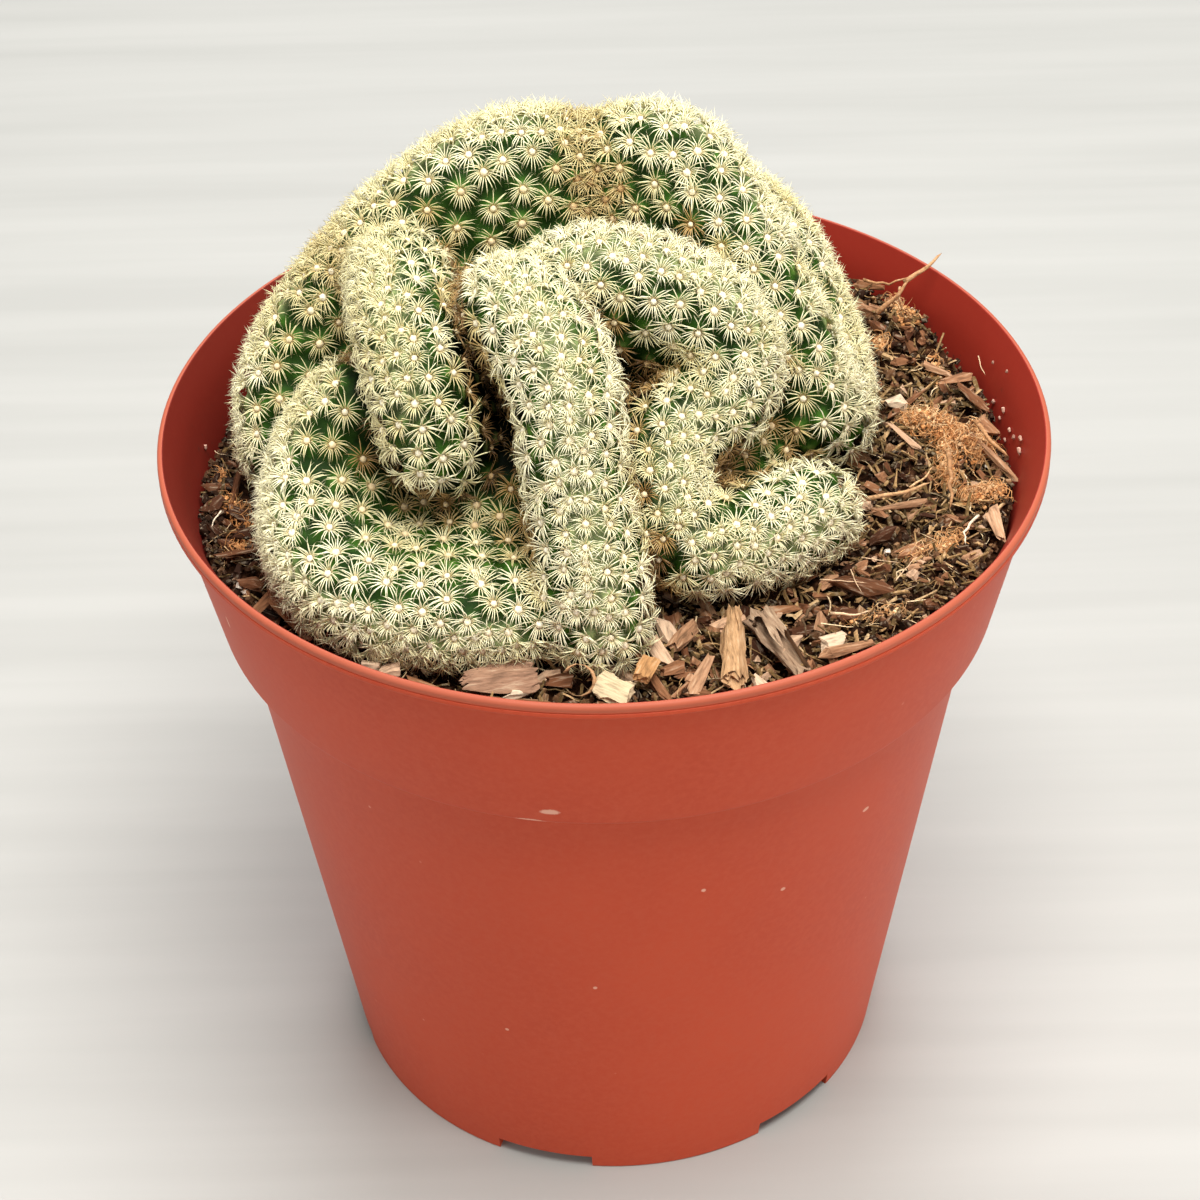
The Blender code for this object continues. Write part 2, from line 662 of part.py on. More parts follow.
def coir_fibre(root, turn, draw):
    """One stiff fibre that stands out of the knot."""
    rise = draw.uniform(0.1, 1.1)
    direction = Vector((math.cos(turn) * math.cos(rise), math.sin(turn) * math.cos(rise), math.sin(rise)))
    length = draw.uniform(FIBRE_SHORTEST, FIBRE_LONGEST)
    aim = direction.to_track_quat("Z", "Y").to_matrix().to_4x4()
    place = Matrix.Translation(root + direction * (length / 2 + FIBRE_START)) @ aim
    bm = bmesh.new()
    bmesh.ops.create_cone(
        bm, cap_ends=True, segments=3, radius1=FIBRE_ROOT_RADIUS, radius2=FIBRE_TIP_RADIUS,
        depth=length, matrix=place)
    return mesh_from(bm, "fibre")


def coir_tuft(parts, ground):
    """A knot of coconut fibre: a small dense heart with stiff fibres round it."""
    draw = random.Random(SEED + 2)
    heart = Vector((*TUFT_PLACE, DROP_HEIGHT))
    bm = bmesh.new()
    bmesh.ops.create_icosphere(bm, subdivisions=2, radius=1)
    bmesh.ops.scale(bm, vec=TUFT_HEART, verts=bm.verts)
    for vert in bm.verts:
        vert.co *= draw.uniform(0.85, 1.1)
    bmesh.ops.translate(bm, vec=heart, verts=bm.verts)
    coir = material("coir_fibre", (0.55, 0.25, 0.09), 0.9)
    tuft = add_object("coir_tuft", mesh_from(bm, "coir_tuft"), parts, coir)
    fibres = new_collection("fibres")
    for i in range(FIBRE_COUNT):
        turn = math.tau * i / FIBRE_COUNT + draw.uniform(-0.1, 0.1)
        add_object("fibre", coir_fibre(heart, turn, draw), fibres)
    fuse_collection(tuft, fibres)
    settle(tuft, ground)


def make_loose_pieces(parts, soil):
    ground = tree_of(soil.data)
    for piece in LOOSE_PIECES:
        wood_chip(parts, ground, *piece)
    coir_tuft(parts, ground)


def main():
    clear_scene()
    parts = new_collection("potted_brain_cactus")
    cutters = new_collection("cutters")
    make_pot(parts, cutters)
    body, areoles = plant_body(parts)
    body.data.materials.append(material("cactus_skin", (0.34, 0.42, 0.20), 0.6))
    soil = make_soil(parts, body)
    ground = tree_of(soil.data)

    def clear_of_ground(tip):
        hit = ground.ray_cast(Vector((tip.x, tip.y, ABOVE_PLANT)), Vector((0, 0, -1)))
        return not hit[0] or tip.z > hit[0].z + SPINE_GROUND_CLEARANCE

    add_spines(body, areoles, clear_of_ground)
    make_loose_pieces(parts, soil)


main()
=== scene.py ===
import json
import math
import random

import bmesh
import bpy
import numpy as np
from mathutils import Matrix, Vector, noise
from mathutils.bvhtree import BVHTree

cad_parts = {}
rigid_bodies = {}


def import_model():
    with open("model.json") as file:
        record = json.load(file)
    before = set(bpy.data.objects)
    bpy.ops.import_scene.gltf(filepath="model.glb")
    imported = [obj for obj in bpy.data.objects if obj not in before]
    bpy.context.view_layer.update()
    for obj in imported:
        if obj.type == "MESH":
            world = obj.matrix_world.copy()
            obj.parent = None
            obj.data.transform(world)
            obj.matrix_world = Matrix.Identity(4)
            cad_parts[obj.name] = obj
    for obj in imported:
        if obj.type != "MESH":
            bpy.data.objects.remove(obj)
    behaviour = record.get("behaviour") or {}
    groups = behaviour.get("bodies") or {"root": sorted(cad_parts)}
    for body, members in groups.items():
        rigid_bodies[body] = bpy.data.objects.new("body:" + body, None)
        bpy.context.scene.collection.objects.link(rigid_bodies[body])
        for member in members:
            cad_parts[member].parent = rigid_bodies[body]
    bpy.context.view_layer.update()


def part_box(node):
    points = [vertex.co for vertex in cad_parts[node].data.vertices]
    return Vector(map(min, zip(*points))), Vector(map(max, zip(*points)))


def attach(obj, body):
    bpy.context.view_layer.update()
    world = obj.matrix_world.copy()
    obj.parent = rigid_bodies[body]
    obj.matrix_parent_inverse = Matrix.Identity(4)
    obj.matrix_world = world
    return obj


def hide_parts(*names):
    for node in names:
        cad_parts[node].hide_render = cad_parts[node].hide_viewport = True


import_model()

MM = 0.001
UP = Vector((0, 0, 1))

# Pot, as in the solids
RIM_RADIUS = 52.5 * MM
POT_HEIGHT = 94.0 * MM
LIP_HEIGHT = 1.8 * MM
COLLAR_TOP_RADIUS = 51.3 * MM
COLLAR_FOOT_RADIUS = 47.6 * MM
COLLAR_FOOT_Z = 72.5 * MM
BODY_TOP_RADIUS = 45.1 * MM
BODY_TOP_Z = 71.4 * MM
FOOT_RADIUS = 35.4 * MM
WALL = 1.2 * MM
FOOT_RING = 1.8 * MM
BASE_UNDERSIDE_Z = 2.4 * MM
BASE_TOP_Z = 3.9 * MM
POT_STEPS = 192
DRAIN_RADIUS = 3.5 * MM
DRAIN_CIRCLE = 22.0 * MM
DRAIN_COUNT = 5
FOOT_GAP_CENTRES = (-106, -49, 11, 71, 131, 191)
FOOT_GAP_WIDTH = 12.5 * MM
FOOT_GAP_HEIGHT = 2.2 * MM

# Pale scuffs on the outside of the pot: x, y, z, half width and half height in millimetres
PALE_MARKS = (
    (-9.2, -46.9, 72.7, 1.9, 0.35), (-6.8, -47.6, 74.6, 1.3, 0.55), (-2.5, -40.6, 39.3, 0.32, 0.32),
    (10.3, -41.8, 56.4, 0.35, 0.35), (19.8, -37.6, 52.1, 0.35, 0.35), (29.7, -31.6, 59.0, 0.6, 0.35),
    (-13.5, -36.8, 28.2, 0.3, 0.3), (-43.1, -24.9, 84.2, 0.22, 2.2),
)

# Potting mix, as in the solids
SEAT_GAP = 0.3 * MM
SOIL_LEVEL = 85.3 * MM
SOIL_SLOPE = (0.02, 0.012)
SOIL_WAVE_HEIGHTS = (0.7 * MM, 0.4 * MM)
HEAP_PLACE = (36 * MM, 28 * MM)
HEAP_REACH = 15 * MM
HEAP_HEIGHT = 2.8 * MM
SOIL_STEPS = 250
SOIL_RING_WIDTH = 0.8 * MM
CHIP_COUNT = 520
CRUMB_COUNT = 800
FINE_CRUMB_COUNT = 2600
BANKED_CRUMB_COUNT = 1100
THREAD_COUNT = 800
SHRED_COUNT = 2500

# Growing lines of the crest, near those of the solids: x, y, z and radius in millimetres
OUTER_CREST = (
    (-37.5, 0, 90.5, 5.0), (-37.5, 3.5, 95.5, 5.1), (-35.5, 6.5, 100, 5.1), (-32, 8.5, 104.5, 5.1),
    (-28, 9.5, 109, 5.1), (-24, 10.5, 113, 5.1), (-19, 12, 116.5, 5.1), (-13.5, 14, 119, 5.2),
    (-7.5, 15.5, 120, 5.2), (-1, 16, 118.5, 4.6), (5, 15.5, 120, 5.3), (9.5, 13.5, 119.5, 5.5),
    (12.5, 11, 116.5, 5.5), (16, 7, 112, 5.5), (18.5, 4, 107, 5.5), (21.5, 2.5, 101.5, 5.5),
    (24, 0.5, 95, 5.4),
)
RIGHT_BACK_CREST = (
    (26.5, 3, 91, 5.1), (26.5, 7.5, 93.5, 5.1), (25, 12, 97, 5.1), (23, 15, 101, 5.1),
    (20.5, 18, 105, 5.1), (15.5, 21.5, 108.5, 5.1), (9, 24, 109.5, 5.1), (2, 25.5, 109, 5.1),
    (-3.5, 28.5, 106, 5.1), (-7, 31.5, 101, 5.1), (-8.5, 33.5, 95, 5.0),
)
LEFT_BACK_CREST = (
    (-10.5, 24, 108, 4.9), (-16.5, 22.5, 105.5, 5.0), (-22, 20, 101.5, 5.1), (-28, 17, 96.5, 5.1),
    (-31, 18, 92, 5.1), (-28, 24, 91, 5.1), (-22, 28.5, 93.5, 5.1), (-17.5, 30.5, 97, 4.8),
)
LOW_BACK_CREST = (
    (1.5, 34, 92.5, 4.9), (2.5, 32.5, 98, 5.0), (6.5, 30.5, 100.5, 5.1), (11.5, 28, 100.5, 5.1),
    (16, 25, 98.5, 5.1), (20, 21.5, 95, 5.0), (21.5, 21.5, 91, 4.8),
)
LEFT_FINGER = (
    (-24, 7, 109, 4.6), (-23, 1, 113, 4.9), (-22.4, -6.5, 114, 4.9), (-21.2, -13, 112.5, 4.9),
    (-19.9, -17.5, 109, 4.7), (-19, -19.3, 104.5, 4.5),
)
MIDDLE_CREST = (
    (-0.7, -33.6, 89.5, 4.8), (-1.3, -31.8, 94.0, 4.9), (-2.1, -29, 98.5, 4.8), (-2.9, -26.5, 102, 4.7),
    (-3.4, -24, 107, 4.8), (-3.8, -21, 111, 4.9), (-5.3, -17.5, 114, 5.1), (-7.9, -13, 115.5, 5.3),
    (-10.3, -8.5, 115, 5.0), (-8, -4.5, 111.5, 4.0),
    (-3, -3.5, 115, 5.0), (1, -3.5, 115, 5.1), (5.5, -3.5, 114, 5.1), (9.5, -4, 112, 5.1),
    (13, -5, 109.5, 4.9), (15, -7, 106, 4.8), (13.5, -9.5, 103, 4.8), (10, -12, 101.5, 4.8),
    (7, -15, 100, 4.9), (6, -18.5, 97.5, 5.0), (7, -21.5, 94.5, 5.0), (11, -23, 92, 5.0),
    (17, -21, 91.5, 5.0), (23.5, -16, 91, 4.8),
)
FRONT_CREST = (
    (-28, -9, 103, 4.5), (-31.5, -11, 98.5, 4.9), (-33, -15.5, 95, 5.1), (-32.5, -21.5, 92.0, 5.2),
    (-29, -26.8, 90.0, 5.3), (-23, -30.3, 89.5, 5.3), (-16.5, -31.4, 89.3, 5.3), (-11, -31.6, 89.2, 5.0),
)
CROWN = Vector((-5, 1, 80)) * MM
FRONT_CROWN = Vector((-9, -8, 88)) * MM
FAN_STEPS = (0.0, 0.12, 0.24, 0.36, 0.48, 0.6, 0.72)
# Each growing line, the point that its fan of tissue runs down to, and how fast the fan thins
CRESTS = (
    (OUTER_CREST, CROWN, 0.4),
    (RIGHT_BACK_CREST, CROWN, 0.5),
    (LEFT_BACK_CREST, CROWN, 0.6),
    (LOW_BACK_CREST, CROWN, 0.6),
    (LEFT_FINGER, CROWN, 0.8),
    (MIDDLE_CREST, CROWN, 0.85),
    (FRONT_CREST, FRONT_CROWN, 0.35),
)
CORE_CENTRE = Vector((-5, 0, 88)) * MM
CORE_SIZE = Vector((27, 24, 15)) * MM
VOXEL = 1.45 * MM
# Old open flanks, where the skin shows between wide-spaced stars: x, y, z and reach in millimetres
OPEN_FLANKS = (
    (-16, 7.5, 116, 5.5), (-10, 8, 116, 6.5), (-5, 9, 117, 6.5), (1, 9, 115.5, 5), (-34, 2.5, 102.5, 5),
    (-37.5, -1, 97, 4.5), (-29.5, -16, 100, 5), (-25, -17, 96.5, 5.5), (-20, -21, 95, 5.5),
    (-14, -22, 94.5, 5.5), (21.8, -4.5, 92.5, 4.5), (25.5, 0.5, 105, 2.8), (22.5, 4, 111.5, 3),
    (13, -21, 96, 2.5),
)

# Skin and spines
SPACING_YOUNG = 1.9 * MM
SPACING_RIB = 2.75 * MM
SPACING_FLANK = 3.4 * MM
RIB_REACH = 6.5 * MM
FLANK_START = 11.0 * MM
OPEN_FLANK_AGE = 12.0 * MM
SETTLE_SAMPLE = 30000
SETTLE_ROUNDS = 9
AREOLE_LOWEST_Z = 86.4 * MM
YOUNG_AGE = 1.5 * MM
GROWN_AGE = 5.5 * MM
# Points are matched by place and by facing together, so that skin across a crease counts as far away
FACING_WEIGHT = 3 * MM
CREVICE_REACH = 6.5 * MM
CREVICE_RAYS = 24
SPINES_IN_A_STAR = 25
TUBERCLE_SHARE = 0.30
SPINE_RADIUS = 0.086 * MM
SPINE_LENGTH = 3.2 * MM
YOUNG_SPINE_LENGTH = 2.75 * MM
# Where weathering has turned the spines golden: x, y, z and reach in millimetres, and how far
GOLDEN_PLACES = (
    (-1, 15, 121, 9, 0.55), (1, 11, 117, 6.5, 0.50), (-9, -5, 114, 6.5, 0.50), (-15, -3, 114, 4, 0.35),
    (-26, 6, 111, 6, 0.40), (-30, -3, 106, 5, 0.40), (10, -11, 108, 5, 0.25), (13, -15, 96.5, 4, 0.40),
    (28, 10, 100, 8, 0.22), (20, 20, 110, 8, 0.22), (-30, 12, 110, 9, 0.26), (-14, 18, 122, 9, 0.22),
)

SEED = 11


# Helpers for shapes

def deselect():
    for item in bpy.context.view_layer.objects:
        item.select_set(False)


def pick(*items):
    """Select these objects alone, the first one active."""
    deselect()
    for item in items:
        item.select_set(True)
    bpy.context.view_layer.objects.active = items[0]


def named(name):
    """The object just added, under its own name."""
    item = bpy.context.active_object
    item.name = name
    item.data.name = name
    return item


def edit(item):
    pick(item)
    bpy.ops.object.mode_set(mode="EDIT")
    bpy.ops.mesh.select_all(action="SELECT")


def done():
    bpy.ops.object.mode_set(mode="OBJECT")


def apply_modifier(item, kind, **settings):
    """Add a modifier with its settings, and apply it."""
    pick(item)
    modifier = item.modifiers.new(kind.title(), kind)
    for key, value in settings.items():
        setattr(modifier, key, value)
    bpy.ops.object.modifier_apply(modifier=modifier.name)


def set_place(item):
    """Put the object's place, turn and size into its mesh."""
    pick(item)
    bpy.ops.object.transform_apply(location=True, rotation=True, scale=True)


def closed(item):
    """Merge doubled points and turn every face outwards."""
    edit(item)
    bpy.ops.mesh.remove_doubles(threshold=0.000001)
    bpy.ops.mesh.normals_make_consistent(inside=False)
    done()


def turned(name, profile, steps):
    """A solid of revolution, drawn out ring by ring from a round plate. The profile is radius and height."""
    radius, height = profile[0]
    deselect()
    bpy.ops.mesh.primitive_circle_add(
        vertices=steps, radius=radius, fill_type="NGON", location=(0, 0, height))
    item = named(name)
    set_place(item)
    edit(item)
    for next_radius, next_height in profile[1:]:
        bpy.ops.mesh.extrude_region_move(TRANSFORM_OT_translate={"value": (0, 0, next_height - height)})
        ratio = next_radius / radius
        bpy.ops.transform.resize(value=(ratio, ratio, 1), center_override=(0, 0, next_height))
        radius, height = next_radius, next_height
    done()
    closed(item)
    return item


def arc(centre, radius, start, end, count):
    """Points of an arc in the profile plane, angles in degrees from the outward direction."""
    turns = [math.radians(start + (end - start) * i / (count - 1)) for i in range(count)]
    return [(centre[0] + radius * math.cos(t), centre[1] + radius * math.sin(t)) for t in turns]


def numbers(layer, key, width=1, kind=np.float32):
    """The values of a mesh layer as an array, one row for each element."""
    values = np.empty(len(layer) * width, kind)
    layer.foreach_get(key, values)
    return values.reshape(-1, width) if width > 1 else values


def points_of(mesh):
    return numbers(mesh.vertices, "co", 3)


def normals_of(mesh):
    return numbers(mesh.vertices, "normal", 3)


def mark(mesh, name, values):
    """Keep one value, or one vector, for each point as a named attribute."""
    values = np.asarray(values, np.float32)
    kind = "FLOAT_VECTOR" if values.ndim == 2 else "FLOAT"
    layer = mesh.attributes.new(name, kind, "POINT")
    layer.data.foreach_set("vector" if values.ndim == 2 else "value", values.ravel())


def smoothstep(value, low, high):
    share = np.clip((value - low) / (high - low), 0, 1)
    return share * share * (3 - 2 * share)


def copies(name, patterns, laid, smooth=True, lengthwise=False):
    """One mesh that holds a copy of a pattern at each place.

    laid has a 4 x 4 matrix, a pattern's number and a tone for each copy. Each point keeps its tone, and
    either where it lay in its pattern at real size, as the vector "own", or how far up it lay, as "along".
    """
    places = np.array([np.array(matrix) for matrix, _, _ in laid])
    pattern_numbers = np.array([number for _, number, _ in laid])
    given_tones = np.array([tone for _, _, tone in laid])
    verts, loops, starts, kept, tones = [], [], [], [], []
    vert_base = 0
    loop_base = 0
    for index, pattern in enumerate(patterns):
        chosen = np.flatnonzero(pattern_numbers == index)
        if not len(chosen):
            continue
        shape = points_of(pattern.data).astype(float)
        corner = numbers(pattern.data.loops, "vertex_index", 1, np.int32)
        start = numbers(pattern.data.polygons, "loop_start", 1, np.int32)
        turns = places[chosen][:, :3, :3]
        spots = places[chosen][:, :3, 3]
        verts.append((np.einsum("nij,vj->nvi", turns, shape) + spots[:, None]).reshape(-1, 3))
        if lengthwise:
            kept.append(np.tile(shape[:, 2], len(chosen)))
        else:
            sizes = np.linalg.norm(turns, axis=1)
            shift = np.sin(chosen * 12.9898)[:, None] * 0.05
            kept.append((shape[None] * sizes[:, None] + shift[:, None]).reshape(-1, 3))
        order = np.arange(len(chosen))[:, None]
        loops.append((corner[None] + vert_base + order * len(shape)).ravel())
        starts.append((start[None] + loop_base + order * len(corner)).ravel())
        tones.append(np.repeat(given_tones[chosen], len(shape)))
        vert_base += len(chosen) * len(shape)
        loop_base += len(chosen) * len(corner)
    mesh = bpy.data.meshes.new(name)
    mesh.vertices.add(vert_base)
    mesh.vertices.foreach_set("co", np.concatenate(verts).astype(np.float32).ravel())
    mesh.loops.add(loop_base)
    mesh.loops.foreach_set("vertex_index", np.concatenate(loops).astype(np.int32))
    starts = np.concatenate(starts).astype(np.int32)
    mesh.polygons.add(len(starts))
    mesh.polygons.foreach_set("loop_start", starts)
    mesh.update(calc_edges=True)
    mesh.validate()
    mark(mesh, "tone", np.concatenate(tones))
    mark(mesh, "along" if lengthwise else "own", np.concatenate(kept))
    item = bpy.data.objects.new(name, mesh)
    bpy.context.scene.collection.objects.link(item)
    if smooth:
        mesh.shade_smooth()
    else:
        mesh.shade_flat()
    return item


def reaching(spot, ahead, bend, size):
    """A matrix that lays Z along ahead and X along bend, at a spot and a size along each axis."""
    matrix = Matrix((bend, ahead.cross(bend), ahead)).transposed().to_4x4()
    matrix.translation = spot
    return matrix @ Matrix.Diagonal((*size, 1))


def set_down(spot, turn, tilt, roll, size):
    """A matrix that sizes a thing, rolls it about X, tilts it about Y, turns it about Z and moves it."""
    matrix = Matrix.Translation(spot) @ Matrix.Rotation(turn, 4, "Z")
    matrix = matrix @ Matrix.Rotation(tilt, 4, "Y") @ Matrix.Rotation(roll, 4, "X")
    return matrix @ Matrix.Diagonal((*size, 1))


def drop(*items):
    """Remove patterns that were only there to be copied."""
    for item in items:
        bpy.data.objects.remove(item)


def finish_piece(item, mat, node):
    """Give a piece its material and slot, ride it on the part's one body, and let it stand for its solid."""
    item.data.materials.clear()
    item.data.materials.append(mat)
    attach(item, "root")
    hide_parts(node)


def finish_copies(name, patterns, laid, mat, node="soil", smooth=False):
    """Copy patterns into one finished piece, and drop them."""
    item = copies(name, patterns, laid, smooth)
    drop(*patterns)
    finish_piece(item, mat, node)
    return item


# Helpers for materials

def linear(colour):
    """An sRGB hex colour as the linear colour that a shader takes."""
    channels = [int(colour[i:i + 2], 16) / 255 for i in (1, 3, 5)]
    return tuple(c / 12.92 if c <= 0.04045 else ((c + 0.055) / 1.055) ** 2.4 for c in channels) + (1.0,)


def new_material(name):
    mat = bpy.data.materials.new(name)
    mat.use_nodes = True
    return mat


def wire(mat, value, socket):
    """Give an input a source, a number or an sRGB hex colour."""
    if isinstance(value, bpy.types.NodeSocket):
        mat.node_tree.links.new(value, socket)
    elif isinstance(value, str):
        socket.default_value = linear(value)
    else:
        socket.default_value = value


def add(mat, kind, settings, out=0):
    """Add a node and give one of its outputs. A setting is a property, or what an input takes."""
    node = mat.node_tree.nodes.new("ShaderNode" + kind)
    for key, value in settings.items():
        if isinstance(key, str) and hasattr(node, key):
            setattr(node, key, value)
        else:
            wire(mat, value, node.inputs[key])
    return node.outputs[out]


def surface(mat, colour, roughness, ior=1.5, gloss=0.5, relief=None):
    """Finish a material. The relief is its height, its strength and its depth in millimetres."""
    shader = mat.node_tree.nodes["Principled BSDF"]
    wire(mat, colour, shader.inputs["Base Color"])
    wire(mat, roughness, shader.inputs["Roughness"])
    wire(mat, ior, shader.inputs["IOR"])
    wire(mat, gloss, shader.inputs["Specular IOR Level"])
    if relief:
        height, strength, depth = relief
        bump = add(mat, "Bump", {"Strength": strength, "Distance": depth * MM, "Height": height})
        wire(mat, bump, shader.inputs["Normal"])
    return mat


def ramp(mat, source, stops):
    """A colour ramp from a value; stops are positions and hex colours."""
    colour = add(mat, "ValToRGB", {0: source})
    elements = colour.node.color_ramp.elements
    while len(elements) < len(stops):
        elements.new(0.5)
    for element, (position, hex_colour) in zip(elements, stops):
        element.position = position
        element.color = linear(hex_colour)
    return colour


def between(mat, source, low, high):
    """The source value spread from 0 at low to 1 at high."""
    return add(mat, "MapRange", {"From Min": low, "From Max": high, "Value": source})


def mixed(mat, share, first, second):
    """Two colours mixed, with a share of the second."""
    return add(mat, "Mix", {"data_type": "RGBA", 0: share, 6: first, 7: second}, 2)


def object_place(mat):
    return add(mat, "TexCoord", {}, "Object")


def attribute(mat, name, out="Fac"):
    return add(mat, "Attribute", {"attribute_name": name}, out)


def per_metre(millimetres):
    """The scale at which a noise or cell pattern repeats about every so many millimetres."""
    return 1 / (millimetres * MM)


# Materials

def moulded_polypropylene():
    """Polypropylene, injection moulded and dull from handling: an even brick red with a soft sheen.

    It has a fine moulded grain, cloudy patches, pale scuffs where it was knocked, specks of dust and a paler
    lip top that is a painted highlight. Inside it is painted darker as shade, darkest towards the left where
    the plant shades the wall, with splashes of mix near the soil line.
    """
    mat = new_material("moulded_polypropylene")
    place = object_place(mat)
    cloud = add(mat, "TexNoise", {"Scale": per_metre(28), "Detail": 3.0, "Roughness": 0.5, "Vector": place})
    # The real grain is finer; it is drawn coarser so that it shows
    grain = add(mat, "TexNoise", {"Scale": per_metre(0.9), "Detail": 2.0, "Roughness": 0.6, "Vector": place})
    chafe = add(mat, "TexNoise", {"Scale": per_metre(1.1), "Detail": 4.0, "Roughness": 0.7, "Vector": place})
    tone = ramp(mat, cloud, ((0.3, "#B24126"), (0.55, "#B84529"), (0.75, "#BD492C")))
    speckled = mixed(mat, between(mat, grain, 0.35, 0.75), tone, "#BA4B2F")
    scuffed = 0.0
    for x, y, z, across, high in PALE_MARKS:
        half_size = (across * MM, across * MM, high * MM)
        off = add(mat, "VectorMath", {"operation": "SUBTRACT", 0: place, 1: (x * MM, y * MM, z * MM)})
        scaled = add(mat, "VectorMath", {"operation": "DIVIDE", 0: off, 1: half_size})
        length = add(mat, "VectorMath", {"operation": "LENGTH", 0: scaled}, "Value")
        edge = add(mat, "Math", {"operation": "SUBTRACT", 0: length, 1: chafe})
        scuffed = add(mat, "Math", {"operation": "MAXIMUM", 0: scuffed, 1: between(mat, edge, 0.45, 0.15)})
    marked = mixed(mat, scuffed, speckled, "#D9A08A")
    specks = add(mat, "TexVoronoi", {"Scale": per_metre(6.5), "Randomness": 1.0, "Vector": place})
    patches = add(mat, "TexNoise", {"Scale": per_metre(17), "Detail": 1.0, "Vector": place})
    dust = add(mat, "Math", {"operation": "MULTIPLY", 0: between(mat, specks, 0.045, 0.02),
                             1: between(mat, patches, 0.52, 0.62)})
    dusty = mixed(mat, dust, marked, "#D08A70")
    height = add(mat, "SeparateXYZ", {"Vector": place}, "Z")
    sideways = add(mat, "SeparateXYZ", {"Vector": place}, "X")
    inside = attribute(mat, "inside")
    # Painted shade: the inside is darker than the outside, and darker still towards the left, where the plant
    # shades the wall
    inside_shade_colour = mixed(mat, between(mat, sideways, -10 * MM, -42 * MM), "#8A261D", "#651A15")
    inside_painted_shade = mixed(mat, add(mat, "Math", {"operation": "MULTIPLY", 0: inside, 1: 0.9}), dusty, inside_shade_colour)
    # Painted highlight: the top of the lip is paler, where the light falls on it
    lip = between(mat, height, 93.0 * MM, 93.3 * MM)
    lip_highlight_mask = add(mat, "Math", {"operation": "SUBTRACT", "use_clamp": True, 0: lip, 1: inside})
    lip_painted_highlight = mixed(mat, lip_highlight_mask, inside_painted_shade, "#A8553E")
    wet = add(mat, "TexNoise", {"Scale": per_metre(1.6), "Detail": 4.0, "Roughness": 0.65, "Vector": place})
    low = add(mat, "Math", {"operation": "MULTIPLY", 0: inside, 1: between(mat, height, 91 * MM, 86 * MM)})
    soiled = add(mat, "Math", {"operation": "MULTIPLY", 0: low, 1: between(mat, wet, 0.62, 0.72)})
    dull = add(mat, "MapRange", {"To Min": 0.44, "To Max": 0.56, "Value": cloud})
    return surface(mat, mixed(mat, soiled, lip_painted_highlight, "#4A2A20"), dull, 1.49, 0.18, (grain, 0.12, 0.08))


def cactus_epidermis():
    """The waxed skin of a cactus: fresh grey-green where it grows, deep green and glossier on old flanks."""
    mat = new_material("cactus_epidermis")
    place = object_place(mat)
    mottle = add(mat, "TexNoise", {"Scale": per_metre(2.5), "Detail": 3.0, "Vector": place})
    # The skin's pores are finer than this; they are drawn coarser so that they show
    pores = add(mat, "TexNoise", {"Scale": per_metre(0.35), "Detail": 2.0, "Vector": place})
    old = ramp(mat, mottle, ((0.3, "#22420C"), (0.5, "#365F18"), (0.7, "#4F802B")))
    green = mixed(mat, attribute(mat, "youth"), old, "#BECD8E")
    # Painted shade: the skin is darkened towards near-black where the plant closes over it, in creases
    deep = mixed(mat, between(mat, attribute(mat, "crevice"), 0.18, 0.52), green, "#0B0F05")
    height = attribute(mat, "relief")
    # Painted shade: between the tubercles the skin is mixed three quarters of the way to near-black; the
    # tubercle tops are paler
    ground = mixed(mat, between(mat, height, 0.0, 0.8), mixed(mat, 0.75, deep, "#0A1605"), deep)
    colour = mixed(mat, between(mat, height, 0.6, 1.6), ground, "#9DB562")
    return surface(mat, colour, 0.6, 1.42, 0.12, (pores, 0.35, 0.05))


def spine_horn():
    """Spines of hard plant tissue: stiff, glassy and pale straw, golden at the root, browner where old."""
    mat = new_material("spine_horn")
    colour = ramp(mat, attribute(mat, "tone"), (
        (0.0, "#FCF6D2"), (0.25, "#F1E9B8"), (0.5, "#DFCF95"), (0.75, "#BE995F"), (1.0, "#7C5B36")))
    root = between(mat, attribute(mat, "along"), 0.34, 0.12)
    return surface(mat, mixed(mat, root, colour, mixed(mat, 0.4, colour, "#B78D48")), 0.38)


def areole_wool():
    """Areole felt: a tight pad of very short plant hairs, cream on young areoles and tan on old ones."""
    mat = new_material("areole_wool")
    fuzz = add(mat, "TexNoise", {"Scale": per_metre(0.25), "Detail": 2.0, "Vector": object_place(mat)})
    colour = ramp(mat, attribute(mat, "tone"), ((0.0, "#FFFBE6"), (0.5, "#F8E9C0"), (1.0, "#C8A06A")))
    shaded = mixed(mat, between(mat, fuzz, 0.6, 0.3), colour, mixed(mat, 0.5, colour, "#D8B57A"))
    wire(mat, 0.3, mat.node_tree.nodes["Principled BSDF"].inputs["Sheen Weight"])
    return surface(mat, shaded, 0.85, relief=(fuzz, 0.6, 0.1))


def bed_of_mix():
    """Peat and composted bark: a dark moist crumb with lighter fibres, quite without shine."""
    mat = new_material("bed_of_mix")
    crumb = add(mat, "TexNoise", {"Scale": per_metre(1.3), "Detail": 5.0, "Roughness": 0.7,
                                  "Vector": object_place(mat)})
    colour = ramp(mat, crumb, (
        (0.30, "#120703"), (0.45, "#261409"), (0.58, "#43291A"), (0.70, "#66452D"), (0.80, "#86623F")))
    return surface(mat, colour, 0.93, 1.45, 0.08, (crumb, 0.8, 0.5))


